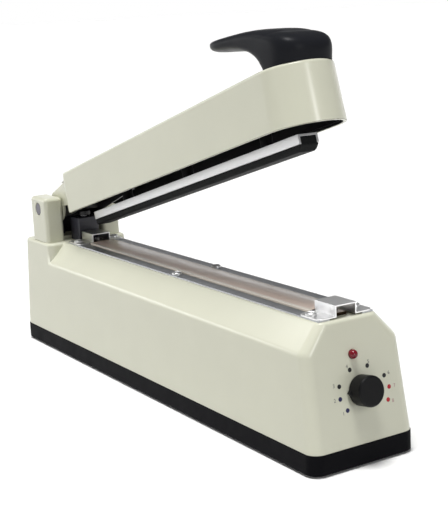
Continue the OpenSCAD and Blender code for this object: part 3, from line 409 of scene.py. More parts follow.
@dataclass(frozen=True)
class MouldedRubber(Finish):
    """Rubber: dull, with a fine skin, faint run marks and a bloom of dust."""

    colour: str
    bloom: str
    roughness: float
    run: float = 1.0
    turn: float = 0.0
    dust: float = 0.35
    dust_mm: float = 1.8
    dust_from: float = 0.45
    dust_full: float = 0.75
    skin_mm: float = 0.6
    relief_mm: float = 0.012
    vary: float = 0.07
    ior: float = 1.43
    # A dull skin scatters most of what a clean one would mirror.
    gloss: float = 0.1

    def paint(self, tree: bpy.types.NodeTree) -> dict[str, Any]:
        """Lays dust, run marks and the dull skin.

        Args:
            tree: the material's tree.

        Returns:
            The shader's inputs.
        """
        specks = self.spots(tree, self.dust_mm, detail=5.0)
        reach = {"From Min": self.dust_from, "From Max": self.dust_full, "To Max": self.dust}
        dust = add_node(tree, "MapRange", {"Value": specks, **reach})
        dusty = {SHARE: dust, FIRST: linear(self.colour), SECOND: linear(self.bloom)}
        skin = self.spots(tree, self.skin_mm, (self.run, 1.0, 1.0), self.turn)
        rough = {"Value": skin, **MIDDLE, **around(self.roughness, self.vary)}
        return {
            "Base Color": add_node(tree, "Mix", dusty, data_type="RGBA"),
            "Roughness": add_node(tree, "MapRange", rough),
            "Normal": add_node(tree, "Bump", {"Height": skin, "Distance": self.relief_mm * MM}),
            "Specular IOR Level": self.gloss,
            "IOR": self.ior,
        }


@dataclass(frozen=True)
class WovenGlass(Finish):
    """Glass cloth: threads over and under each other, sealed by a coat and scorched in use."""

    colour: str
    scorch: str
    thread: str
    spacing_mm: float
    roughness: float
    # A paler band along each side: a painted highlight on the cloth's fold.
    hem: str | None = None
    hem_at_mm: float = 0.0
    hem_soft_mm: float = 0.3
    waver: float = 0.4
    thread_from: float = 0.2
    thread_share: float = 0.45
    scorch_mm: float = 16.0
    scorch_run: float = 5.0
    scorch_dulls: float = 0.12
    relief_mm: float = 0.03
    # Fluoropolymer has the lowest index of common plastics.
    ior: float = 1.38

    def paint(self, tree: bpy.types.NodeTree) -> dict[str, Any]:
        """Lays the weave, the scorch patches, a paler band along each side that is a painted highlight on the
        fold, and the coat's gloss.

        Args:
            tree: the material's tree.

        Returns:
            The shader's inputs.
        """
        at = add_node(tree, "TexCoord").outputs["Object"]
        bands = {"Vector": at, "Scale": band_scale(self.spacing_mm), "Distortion": self.waver}
        waves = [add_node(tree, "TexWave", bands, bands_direction=axis.value) for axis in Axis]
        warp, weft = (wave.outputs["Fac"] for wave in waves)
        weave = add_node(tree, "Math", {0: warp, 1: weft}, operation="MULTIPLY")
        patches = self.spots(tree, self.scorch_mm, (self.scorch_run, 1.0, 1.0), detail=4.0)
        scorch = add_node(tree, "MapRange", {"Value": patches, **MIDDLE})
        ends = {FIRST: linear(self.colour), SECOND: linear(self.scorch)}
        body = add_node(tree, "Mix", {SHARE: scorch, **ends}, data_type="RGBA")
        reach = {"From Min": self.thread_from, "To Max": self.thread_share}
        threads = add_node(tree, "MapRange", {"Value": weave, **reach})
        woven = {SHARE: threads, FIRST: body, SECOND: linear(self.thread)}
        cloth = add_node(tree, "Mix", woven, data_type="RGBA")
        # The paler band along each side is a painted highlight on the fold.
        if self.hem:
            across = add_node(tree, "SeparateXYZ", {"Vector": at}).outputs["Y"]
            out = add_node(tree, "Math", {0: across}, operation="ABSOLUTE")
            low, high = self.hem_at_mm - self.hem_soft_mm, self.hem_at_mm + self.hem_soft_mm
            edge = add_node(tree, "MapRange", {"Value": out, "From Min": low * MM, "From Max": high * MM})
            fold_lit = {SHARE: edge, FIRST: cloth, SECOND: linear(self.hem)}
            cloth = add_node(tree, "Mix", fold_lit, data_type="RGBA")
        dulled = {"To Min": self.roughness, "To Max": self.roughness + self.scorch_dulls}
        return {
            "Base Color": cloth,
            "Roughness": add_node(tree, "MapRange", {"Value": scorch, **dulled}),
            "Normal": add_node(tree, "Bump", {"Height": weave, "Distance": self.relief_mm * MM}),
            "IOR": self.ior,
        }


@dataclass(frozen=True)
class ClearPlastic(Finish):
    """Tinted clear plastic, polished, with a little haze."""

    colour: str
    roughness: float
    clear: float
    haze: float = 0.06
    streak: float = 0.2
    streak_mm: float = 1.2
    ior: float = 1.49

    def paint(self, tree: bpy.types.NodeTree) -> dict[str, Any]:
        """Lays the tint's streaks and the haze.

        Args:
            tree: the material's tree.

        Returns:
            The shader's inputs.
        """
        streaks = self.spots(tree, self.streak_mm, detail=3.0)
        ends = {FIRST: shaded(self.colour, 1 - self.streak), SECOND: shaded(self.colour, 1 + self.streak)}
        hazy = {"To Min": self.roughness, "To Max": self.roughness + self.haze}
        return {
            "Base Color": add_node(tree, "Mix", {SHARE: streaks, **ends}, data_type="RGBA"),
            "Roughness": add_node(tree, "MapRange", {"Value": streaks, **MIDDLE, **hazy}),
            "Transmission Weight": self.clear,
            "IOR": self.ior,
        }


@dataclass(frozen=True)
class Layered(Finish):
    """Stacked sheets or wound wire: fine lines of light and dark under varnish."""

    colour: str
    gap: str
    layer_mm: float
    axis: Axis
    roughness: float
    relief_mm: float = 0.06
    vary: float = 0.1
    vary_mm: float = 3.0
    varnish: float = 0.3

    def paint(self, tree: bpy.types.NodeTree) -> dict[str, Any]:
        """Lays the lines and the varnish.

        Args:
            tree: the material's tree.

        Returns:
            The shader's inputs.
        """
        at = add_node(tree, "TexCoord").outputs["Object"]
        bands = {"Vector": at, "Scale": band_scale(self.layer_mm)}
        lines = add_node(tree, "TexWave", bands, bands_direction=self.axis.value).outputs["Fac"]
        lined = {SHARE: lines, FIRST: linear(self.gap), SECOND: linear(self.colour)}
        rough = {"Value": self.spots(tree, self.vary_mm), **MIDDLE, **around(self.roughness, self.vary)}
        return {
            "Base Color": add_node(tree, "Mix", lined, data_type="RGBA"),
            "Roughness": add_node(tree, "MapRange", rough),
            "Normal": add_node(tree, "Bump", {"Height": lines, "Distance": self.relief_mm * MM}),
            "Coat Weight": self.varnish,
        }


@dataclass(frozen=True)
class BackdropPaper(Finish):
    """Matt paper with the faint tooth of its pulp, flagged so that it spills less light than it shows."""

    colour: str
    spill: str
    tooth: float = 0.005
    tooth_mm: float = 120.0
    roughness: float = 0.9

    def paint(self, tree: bpy.types.NodeTree) -> dict[str, Any]:
        """Lays the pulp's tooth.

        Args:
            tree: the material's tree.

        Returns:
            The shader's inputs.
        """
        ends = {FIRST: shaded(self.colour, 1 - self.tooth), SECOND: shaded(self.colour, 1 + self.tooth)}
        tint = add_node(tree, "Mix", {SHARE: self.spots(tree, self.tooth_mm), **ends}, data_type="RGBA")
        spilt = add_node(tree, "LightPath").outputs["Is Diffuse Ray"]
        seen = {SHARE: spilt, FIRST: tint, SECOND: linear(self.spill)}
        return {"Base Color": add_node(tree, "Mix", seen, data_type="RGBA"), "Roughness": self.roughness}


# Warm white ABS from a polished mould: soft gloss, a clear highlight on each rounded edge.
IVORY = MouldedPlastic(
    "ivory_abs_moulded", "#D8D8C5", 0.24, grain_mm=6.0, relief_mm=0.001, cloud=0.012, wear=1.02, marks=0.015,
)
# Black ABS from a spark-eroded mould: dull, with a fine grain that greys its edges.
BLACK = MouldedPlastic(
    "black_abs_grained", "#0C0C0E", 0.45, grain_mm=1.4, relief_mm=0.008, cloud=0.1, wear=2.0, gloss=0.16,
)
# Black ABS from a bead-blasted mould: satin, so that its highlight is broad and soft.
SATIN = MouldedPlastic(
    "black_abs_satin", "#202125", 0.38, grain_mm=1.6, relief_mm=0.002, cloud=0.06, wear=1.3, gloss=0.06,
)
# Black ABS from an etched mould: the tray, which mirrors next to nothing.
ETCHED = MouldedPlastic(
    "black_abs_etched", "#131316", 0.5, grain_mm=1.4, relief_mm=0.008, cloud=0.1, wear=2.0, gloss=0.025,
)
# Satin zinc on pressed sheet: pale and half matt, so that it takes the light of a whole side.
SATIN_ZINC = WorkedMetal(
    "satin_zinc_pressed", "#F6F6F6", 0.33, mark_mm=1.6, relief_mm=0.0005, stain=0.02, stain_mm=6.0, vary=0.02,
)
# Charcoal nylon: a waxy sheen that greys the faces turned to the light.
NYLON = MouldedPlastic(
    "charcoal_nylon_moulded", "#3A3A43", 0.38, grain_mm=1.4, relief_mm=0.008, cloud=0.08, wear=1.4,
)
# Ground steel under a film of oil: grey, with a soft gloss.
OILED_STEEL = WorkedMetal(
    "steel_ground_oiled", "#75737A", 0.38, mark_mm=0.3, relief_mm=0.002, stain=0.2, stain_mm=3.0,
)
# Nickel on turned screws: bright and half matt, so that a head catches the light as a whole.
NICKEL = WorkedMetal(
    "nickel_plated_satin", "#F6F6F5", 0.42, mark_mm=0.6, relief_mm=0.001, stain=0.03, stain_mm=3.0,
)
# Brass painted dark as shade, for the terminals that sit in the shade inside the cover: dark and patchy.
SHADED_BRASS = WorkedMetal(
    "brass_painted_shade", "#3B2F22", 0.4, mark_mm=0.3, relief_mm=0.003, stain=0.4, stain_mm=3.0,
)
# Printing ink: flat and matt on the panel.
INKS = {
    ink: MouldedPlastic(
        ink.name.lower() + "_ink_printed", ink.value, 0.55, grain_mm=0.3, relief_mm=0.002, cloud=0.1,
        wear=1.0,
    )
    for ink in Ink
}
FINISHES: dict[str, Finish] = {
    "ivory_plastic": IVORY,
    "black_plastic": BLACK,
    "handle_plastic": SATIN,
    # Black baked enamel on pressed steel: low gloss, grey where it is rubbed.
    "black_steel": StovedPaint("black_enamel_stoved", "#131315", "#4A4A4C", 0.42),
    # Bright zinc: a cool mirror with a faint spangle. The spangle is drawn coarser so that it shows.
    "plated_steel": WorkedMetal(
        "zinc_plated_steel", "#D4D5D8", 0.19, mark_mm=1.2, relief_mm=0.003, stain=0.15, stain_mm=5.0,
    ),
    # Cold-rolled strip: grey, with rolling lines along it that draw the reflections out.
    "sheet_steel": WorkedMetal(
        "cold_rolled_steel", "#C4C6CB", 0.42, mark_mm=0.5, relief_mm=0.003, stain=0.15, stain_mm=12.0,
        lay=Lay.ALONG_BASE, run=70.0,
    ),
    # Mill-finish aluminium: pale grey satin with extrusion lines and dull specks.
    "aluminium": WorkedMetal(
        "extruded_aluminium", "#E3E3E4", 0.36, mark_mm=0.6, relief_mm=0.001, stain=0.03, stain_mm=6.0,
        lay=Lay.ALONG_ARM,
    ),
    # Extruded silicone: dull black with run marks along it.
    "silicone": MouldedRubber(
        "black_silicone_extruded", "#1A1B1C", "#2C2C2C", 0.6, run=40.0, turn=OPEN_TILT,
    ),
    # Moulded nitrile: dull black with a grey bloom.
    "foot_rubber": MouldedRubber("black_nitrile_moulded", "#151515", "#3B3B3A", 0.7),
    # Coated glass cloth: pale brown and glossy, with a paler band along each side that is a painted highlight
    # on the fold.
    # Its threads are 0.4 mm apart, drawn coarser so that they show.
    "ptfe_cloth": WovenGlass(
        "coated_glass_cloth_woven", "#EEDDD0", "#DDC4B4", "#F8EEE5", spacing_mm=1.3, roughness=0.15,
        hem="#EFE6DA", hem_at_mm=CLOTH_HALF_MM - FOLD_HIGHLIGHT_MM,
    ),
    # Glass tape under the wire: pale and dull, its threads drawn coarser so that they show.
    "mica_strip": WovenGlass(
        "glass_tape_woven", "#C9BFA8", "#A8997F", "#DDD5C2", spacing_mm=1.0, roughness=0.6,
    ),
    # Rolled resistance strip: grey with a brown heat tint.
    "nichrome": WorkedMetal(
        "nickel_chrome_rolled", "#9A8F84", 0.35, mark_mm=0.2, relief_mm=0.002, stain=0.35, stain_mm=14.0,
        lay=Lay.ALONG_BASE,
    ),
    # Turned brass: yellow with fine turning marks.
    "brass": WorkedMetal(
        "brass_turned", "#C9A65A", 0.28, mark_mm=0.3, relief_mm=0.003, stain=0.25, stain_mm=3.0,
    ),
    # Polished red acrylic: deep red, lit through from its edge.
    "red_lens": ClearPlastic("red_acrylic_polished", "#8E1528", 0.06, clear=0.35),
    # Natural nylon: off-white and waxy.
    "lamp_plastic": MouldedPlastic("white_nylon_moulded", "#E4E1D6", 0.45),
    # Acetal bushes: white and slippery.
    "bush_plastic": MouldedPlastic("white_acetal_turned", "#DEDDD6", 0.35),
    # Silicon steel stampings, 0.5 mm each, under varnish: dark grey with fine lines.
    "core_steel": Layered(
        "silicon_steel_laminated", "#55565A", "#26262A", layer_mm=0.5, axis=Axis.WIDTH, roughness=0.4,
    ),
    # Enamelled copper wire, 0.4 mm, under varnish: red-brown with fine lines.
    "copper_winding": Layered(
        "enamelled_copper_wound", "#9A4F27", "#3D1D0E", layer_mm=0.4, axis=Axis.LENGTH, roughness=0.35,
    ),
    # Phenolic board: tan with paper fibres.
    "board": MouldedPlastic("phenolic_paper_pressed", "#9A7B4A", 0.5, grain_mm=0.8, cloud=0.12),
    # Shrunk sleeve on the capacitors: dark blue and glossy.
    "component_sleeve": MouldedPlastic("blue_vinyl_shrunk", "#1E2B4E", 0.3),
    # Relay case: pale blue, half matt.
    "relay_case": MouldedPlastic("blue_polyester_moulded", "#4C79A8", 0.4),
    # Switch button: red and glossy.
    "red_plastic": MouldedPlastic("red_acetal_moulded", "#A8201F", 0.35),
}
NODE_FINISHES: dict[str, Finish] = {
    **{node: FINISHES[slot] for node, slot in SLOT_OF.items()},
    "front_end_cover": SATIN_ZINC,
    "rear_end_cover": SATIN_ZINC,
    "base_tray": ETCHED,
    "hinge_pin": OILED_STEEL,
    "strip_screws": NICKEL,
    "spring_tower": NYLON,
    # The terminals are painted dark: painted shade inside the cover.
    "element_terminals": SHADED_BRASS,
}


def new_piece(name: str, body: bmesh.types.BMesh) -> bpy.types.Object:
    """Makes an object from a finished bmesh.

    Args:
        name: the piece's name.
        body: the mesh, which is freed.

    Returns:
        The new object, linked to the scene and smooth-shaded.
    """
    bmesh.ops.recalc_face_normals(body, faces=body.faces)
    mesh = bpy.data.meshes.new(name)
    body.to_mesh(mesh)
    body.free()
    mesh.shade_smooth()
    piece = bpy.data.objects.new(name, mesh)
    bpy.context.scene.collection.objects.link(piece)
    return piece


def even_shading(piece: bpy.types.Object, sharp_deg: float = SHARP_DEG) -> None:
    """Keeps flat faces flat beside rounded ones.

    Args:
        piece: the piece to shade.
        sharp_deg: the angle from which an edge stays crisp.
    """
    piece.data.set_sharp_from_angle(angle=math.radians(sharp_deg))
    shading = piece.modifiers.new("even_shading", "WEIGHTED_NORMAL")
    shading.keep_sharp = True
    # At the top weight the largest faces alone decide.
    shading.weight = 100


def break_edges(piece: bpy.types.Object, edge: Edge) -> None:
    """Rounds the sharp edges of a piece as its making does.

    Args:
        piece: the piece.
        edge: the kind of edge break.
    """
    rounding = piece.modifiers.new("edge_break", "BEVEL")
    rounding.width = edge.value * MM
    rounding.segments = BREAK_STEPS
    rounding.limit_method = "ANGLE"
    rounding.angle_limit = math.radians(BREAK_DEG)
    rounding.use_clamp_overlap = False
    rounding.miter_outer = "MITER_ARC"


def stand_for(piece: bpy.types.Object, node: str) -> bpy.types.Object:
    """Puts a piece in the place of a solid: on its body and with its finish.

    Args:
        piece: the piece.
        node: the solid's name.

    Returns:
        The piece.
    """
    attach(piece, frame["nodes"][node]["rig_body"])
    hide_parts(node)
    piece.data.materials.clear()
    piece.data.materials.append(NODE_FINISHES[node].material())
    LOG.info("%s stands for %s", piece.name, node)
    return piece


def welded(node: str) -> bmesh.types.BMesh:
    """Copies a solid's mesh and joins the points that its faces share.

    Args:
        node: the solid's name.

    Returns:
        The copy, which the caller frees.
    """
    body = bmesh.new()
    body.from_mesh(frame["nodes"][node].data)
    bmesh.ops.remove_doubles(body, verts=body.verts, dist=WELD_MM * MM)
    return body


def remake(node: str, edge: Edge, least_mm: float = 0.0) -> bpy.types.Object:
    """Remakes a solid with whole faces, broken edges and even shading.

    Args:
        node: the solid's name.
        edge: the kind of edge break.
        least_mm: the length under which an edge is closed up.

    Returns:
        The piece that stands for the solid.
    """
    body = welded(node)
    bmesh.ops.dissolve_limit(body, angle_limit=math.radians(FLAT_DEG), verts=body.verts, edges=body.edges)
    if least_mm:
        bmesh.ops.dissolve_degenerate(body, dist=least_mm * MM, edges=body.edges[:])
    piece = new_piece(node + ".finished", body)
    break_edges(piece, edge)
    even_shading(piece)
    return stand_for(piece, node)


def solids_of(node: str) -> list[tuple[Vector, Vector]]:
    """Finds the separate solids of a node.

    Args:
        node: the node's name.

    Returns:
        The lowest and highest corner of each solid.
    """
    body = welded(node)
    left = set(body.verts)
    found = []
    while left:
        ahead = [left.pop()]
        low, high = ahead[0].co.copy(), ahead[0].co.copy()
        while ahead:
            here = ahead.pop()
            low = Vector(map(min, low, here.co))
            high = Vector(map(max, high, here.co))
            near = {edge.other_vert(here) for edge in here.link_edges} & left
            left -= near
            ahead.extend(near)
        found.append((low, high))
    body.free()
    return sorted(found, key=lambda box: (round(box[0].x, 4), box[0].y))


def skin(body: bmesh.types.BMesh, rings: Sequence[Sequence[Vector]], closed: bool = True,
         capped: bool = True) -> None:
    """Joins rings of points with faces.

    Args:
        body: the mesh that takes the faces.
        rings: the rings, with the same number of points each.
        closed: whether each ring comes back to its start.
        capped: whether the first and last ring are filled.
    """
    rows = [[body.verts.new(point) for point in ring] for ring in rings]
    count = len(rows[0])
    for low, high in zip(rows, rows[1:]):
        for j in range(count if closed else count - 1):
            k = (j + 1) % count
            body.faces.new((low[j], low[k], high[k], high[j]))
    if capped:
        body.faces.new(rows[0][::-1])
        body.faces.new(rows[-1])


def smooth_step(value: float) -> float:
    """Eases a value from 0 to 1, level at both ends."""
    held = min(1.0, max(0.0, value))
    return held * held * (3 - 2 * held)


def power(value: float, order: float) -> float:
    """Gives the signed power that draws a rounded square instead of a circle."""
    return math.copysign(abs(value) ** (2 / order), value)


def from_arm(x_mm: float, y_mm: float, z_mm: float) -> Vector:
    """Turns a point of the arm's own frame to the shared frame at rest.

    Args:
        x_mm: the distance along the arm from the hinge.
        y_mm: the distance across.
        z_mm: the distance above the hinge, square to the arm.

    Returns:
        The point, in metres.
    """
    along, up = math.cos(OPEN_TILT), math.sin(OPEN_TILT)
    return HINGE + MM * Vector((x_mm * along - z_mm * up, y_mm, x_mm * up + z_mm * along))


@dataclass
class SubAssembly:
    """Pieces that belong together, and the solids that they come from."""

    # Solids that are remade with broken edges, and solids that show as they are.
    remade: ClassVar[dict[str, Edge]] = {}
    kept: ClassVar[tuple[str, ...]] = ()

    def build(self) -> None:
        """Makes the pieces."""
        for node, edge in self.remade.items():
            remake(node, edge)
        self.model()

    def model(self) -> None:
        """Makes the pieces that are modelled anew, where there are any."""

    def dress(self) -> None:
        """Gives the solids that show as they are their finish."""
        for node in self.kept:
            solid = frame["nodes"][node]
            solid.data.materials.clear()
            solid.data.materials.append(NODE_FINISHES[node].material())
            LOG.info("%s shows as it is", node)


@dataclass
class Housing(SubAssembly):
    """The black tray, the ivory moulding on it and what holds them together."""

    remade: ClassVar[dict[str, Edge]] = {
        "base_tray": Edge.MOULDED, "body_shell": Edge.MOULDED, "cord_gland": Edge.SOFT,
    }
    kept: ClassVar[tuple[str, ...]] = ("rubber_feet", "base_screws", "floor_screws")


@dataclass
class Hinge(SubAssembly):
    """The ivory ears with the black guard between them, the pin through them and its bushes."""

    remade: ClassVar[dict[str, Edge]] = {
        "hinge_bracket": Edge.MOULDED, "hinge_pin": Edge.TURNED, "rear_guard": Edge.MOULDED,
    }
    kept: ClassVar[tuple[str, ...]] = ("pin_clip", "hinge_screws", "hinge_bushes")


@dataclass
class Lift(SubAssembly):
    """The sprung rod that lifts the arm, in its guide, and the switch that it works."""

    remade: ClassVar[dict[str, Edge]] = {"spring_tower": Edge.MOULDED}
    kept: ClassVar[tuple[str, ...]] = (
        "push_rod", "push_pin", "micro_switch", "switch_button", "switch_bracket", "switch_screws",
    )
    coil_r_mm: float = 4.25
    wire_r_mm: float = 0.65
    turns: float = 6.0
    dead_turns: float = 0.8
    stroke_share: float = 0.8315
    steps_per_turn: int = 40
    wire_sides: int = 12

    def model(self) -> None:
        """Winds the return spring."""
        low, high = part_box("return_spring")
        middle = (low + high) / 2
        start, end = low.z + self.wire_r_mm * MM, high.z - self.wire_r_mm * MM
        count = round(self.turns * self.steps_per_turn)
        body = bmesh.new()
        skin(body, [self.ring(middle, start, end, i / count) for i in range(count + 1)])
        spring = stand_for(new_piece("return_spring.wound", body), "return_spring")
        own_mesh(spring)

    def ring(self, middle: Vector, start: float, end: float, share: float) -> list[Vector]:
        """Gives the wire's section at one place of the winding.

        Args:
            middle: a point on the spring's axis.
            start: the height of the wire's first turn.
            end: the height of its last turn.
            share: the place along the winding, from 0 to 1.

        Returns:
            The points of the section.
        """
        turned = share * self.turns
        # The end turns lie flat, and the pitch is taken up between them.
        flat = 2 * self.wire_r_mm * MM * self.dead_turns
        low_end = min(turned, self.dead_turns) / self.dead_turns
        high_end = max(0.0, turned - self.turns + self.dead_turns) / self.dead_turns
        active = (turned - self.dead_turns) / (self.turns - 2 * self.dead_turns)
        rise = flat * (low_end + high_end) + (end - start - 2 * flat) * min(1.0, max(0.0, active))
        angle = 2 * math.pi * turned
        out = Vector((math.cos(angle), math.sin(angle), 0.0))
        centre = Vector((middle.x, middle.y, start + rise)) + out * self.coil_r_mm * MM
        turns = [2 * math.pi * i / self.wire_sides for i in range(self.wire_sides)]
        reaches = [out * math.cos(a) + Vector((0, 0, math.sin(a))) for a in turns]
        return [centre + self.wire_r_mm * MM * reach for reach in reaches]


@dataclass
class Jaw(SubAssembly):
    """The heated bed with its cloth, the strips that hold the cloth and the covers at its ends."""

    remade: ClassVar[dict[str, Edge]] = {
        "near_clamp_strip": Edge.SHEARED, "far_clamp_strip": Edge.SHEARED,
        "front_end_cover": Edge.SHEARED, "rear_end_cover": Edge.SHEARED,
    }
    kept: ClassVar[tuple[str, ...]] = (
        "sealing_bed", "insulating_strip", "heating_element", "element_terminals", "terminal_screws",
    )
    cloth_t_mm: float = 0.3
    cloth_gap_mm: float = 0.05
    cloth_steps: int = 150
    cloth_sharp_deg: float = 60.0
    crest_half_mm: float = 1.8
    crest_flat_share: float = 0.6
    slope_steps: int = 12
    fold_r_mm: float = 0.5
    fold_steps: int = 5
    ripple_mm: float = 0.05
    # Two waves make the ripples: millimetres per radian, slants across the cloth and the second's share.
    long_wave_mm: float = 9.0
    long_slant: float = 0.21
    short_wave_mm: float = 3.7
    short_slant: float = 0.35
    short_share: float = 0.6
    head_h_mm: float = 2.2
    rim_share: float = 0.35
    tip_share: float = 0.02
    shank_r_mm: float = 1.5
    dome_steps: int = 16
    screw_sides: int = 48
    screw_sharp_deg: float = 50.0
    recess_mm: float = 0.7
    recess_l_share: float = 0.62
    recess_w_share: float = 0.2
    recess_end_share: float = 0.12
    recess_wall_share: float = 0.08

    def model(self) -> None:
        """Makes the cloth and the screws."""
        self.lay_cloth()
        body = bmesh.new()
        for low, high in solids_of("strip_screws"):
            self.turn_screw(body, low, high)
        screws = new_piece("strip_screws.headed", body)
        even_shading(screws, self.screw_sharp_deg)
        stand_for(screws, "strip_screws")

    def lay_cloth(self) -> None:
        """Stretches the cloth over the bed and the wire, down to the deck on both sides."""
        low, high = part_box("ptfe_cloth")
        side, top, foot = high.y / MM, high.z / MM, low.z / MM
        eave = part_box("sealing_bed")[1].z / MM + self.cloth_t_mm + self.cloth_gap_mm
        half = self.half_profile(side, eave, top, foot)
        across = [(-y, z) for y, z in half[::-1]] + half[1:]
        shares = [i / self.cloth_steps for i in range(self.cloth_steps + 1)]
        rows = [[self.cloth_point(low.x, high.x, s, y, z, side) for y, z in across] for s in shares]
        body = bmesh.new()
        skin(body, rows, closed=False, capped=False)
        cloth = new_piece("release_cloth", body)
        thick = cloth.modifiers.new("cloth_thickness", "SOLIDIFY")
        thick.thickness = self.cloth_t_mm * MM
        thick.offset = -1 if cloth.data.polygons[0].normal.dot(Vector((0, -1, 0))) > 0 else 1
        even_shading(cloth, self.cloth_sharp_deg)
        stand_for(cloth, "ptfe_cloth")

    def half_profile(self, side: float, eave: float, top: float, foot: float) -> list[tuple[float, float]]:
        """Gives the cloth's outer line from the crest down to the deck, on one side.

        Args:
            side: half the cloth's width over the bed.
            eave: the height at which it turns down.
            top: the height of its crest.
            foot: the height at which it ends.

        Returns:
            The points (y, z) in millimetres.
        """
        inner = side - self.fold_r_mm
        slope = [
            (self.crest_half_mm + (inner - self.crest_half_mm) * s, top + (eave - top) * smooth_step(s))
            for s in (k / self.slope_steps for k in range(self.slope_steps + 1))
        ]
        fold = [
            (inner + self.fold_r_mm * math.sin(a), eave + self.fold_r_mm * (math.cos(a) - 1))
            for a in (math.pi / 2 * k / self.fold_steps for k in range(1, self.fold_steps + 1))
        ]
        crest = [(0.0, top), (self.crest_half_mm * self.crest_flat_share, top)]
        return crest + slope + fold + [(side, foot)]

    def cloth_point(self, start: float, end: float, share: float, y: float, z: float, side: float) -> Vector:
        """Gives a point of the cloth with the small ripples that stretching leaves.

        Args:
            start: the cloth's rear end, in metres.
            end: its front end.
            share: the place along it, from 0 to 1.
            y: the place across it, in millimetres.
            z: the flat cloth's height there.
            side: half the cloth's width.

        Returns:
            The point.
        """
        x = start + (end - start) * share
        loose = math.sin(math.pi * min(1.0, abs(y) / side)) * math.sin(math.pi * share)
        wave = math.sin(x / MM / self.long_wave_mm + y * self.long_slant)
        wave += self.short_share * math.sin(x / MM / self.short_wave_mm - y * self.short_slant)
        # The waves only go down, so that no ripple stands above the flat cloth.
        sunk = self.ripple_mm * loose * (1 + self.short_share + wave)
        return Vector((x, y * MM, (z - sunk) * MM))

    def turn_screw(self, body: bmesh.types.BMesh, low: Vector, high: Vector) -> None:
        """Turns a domed screw with a cross recess.

        Args:
            body: the mesh that takes the screw.
            low: the lowest corner of the screw's solid.
            high: the highest corner.
        """
        middle = (low + high) / 2
        radius = (high.x - low.x) / 2
        head, shank = self.head_h_mm * MM, self.shank_r_mm * MM
        seat = high.z - head
        rim = seat + self.rim_share * head
        profile = [(shank, low.z), (shank, seat), (radius, seat), (radius, rim)]
        for k in range(1, self.dome_steps + 1):
            angle = math.pi / 2 * k / self.dome_steps
            reach = max(self.tip_share, math.cos(angle))
            profile.append((radius * reach, rim + (1 - self.rim_share) * head * math.sin(angle)))
        turns = [2 * math.pi * i / self.screw_sides for i in range(self.screw_sides)]
        rings = []
        for r, z in profile:
            ring = []
            for a in turns:
                x, y = r * math.cos(a), r * math.sin(a)
                sunk = self.recess(x / radius, y / radius) if z > rim else 0.0
                ring.append(Vector((middle.x + x, middle.y + y, z - sunk * MM)))
            rings.append(ring)
        skin(body, rings)

    def recess(self, x: float, y: float) -> float:
        """Gives the depth of the cross recess at a place on the head.

        Args:
            x: the place along the base, as a share of the head's radius.
            y: the place across it.

        Returns:
            The depth, in millimetres.
        """
        turned = (x + y) / math.sqrt(2), (x - y) / math.sqrt(2)
        slots = []
        for along, across in (turned, turned[::-1]):
            end = 1 - smooth_step((abs(along) - self.recess_l_share) / self.recess_end_share + 1)
            wall = 1 - smooth_step((abs(across) - self.recess_w_share / 2) / self.recess_wall_share)
            slots.append(end * wall)
        return self.recess_mm * max(slots)


@dataclass
class Arm(SubAssembly):
    """The ivory arm with its black inside, and the bar and rubber that press on the jaw."""

    remade: ClassVar[dict[str, Edge]] = {
        "arm_frame": Edge.SHEARED, "pressing_bar": Edge.SHEARED, "rubber_strip": Edge.SOFT,
    }
    kept: ClassVar[tuple[str, ...]] = ("arm_liner", "frame_screws", "bar_screws")
    sliver_mm2: float = 1.0
    least_mm: float = 0.1
    probe_mm: float = 0.3

    def model(self) -> None:
        """Remakes the moulding and blackens its inside like the liner that it holds."""
        mesh = remake("arm_shell", Edge.SOFT, self.least_mm).data
        mesh.materials.append(BLACK.material())
        points = [point.co for point in mesh.vertices]
        walls = BVHTree.FromPolygons(points, [face.vertices[:] for face in mesh.polygons])
        across = Vector((0.0, 1.0, 0.0))
        for face in mesh.polygons:
            # Slivers that look up belong to the seam on top of the root.
            if face.normal.z > 0 and face.area < self.sliver_mm2 * MM ** 2:
                continue
            start = face.center + self.probe_mm * MM * face.normal
            # A face lies inside where the moulding has a wall on both sides of it.
            if all(walls.ray_cast(start, way)[0] for way in (across, -across)):
                face.material_index = 1


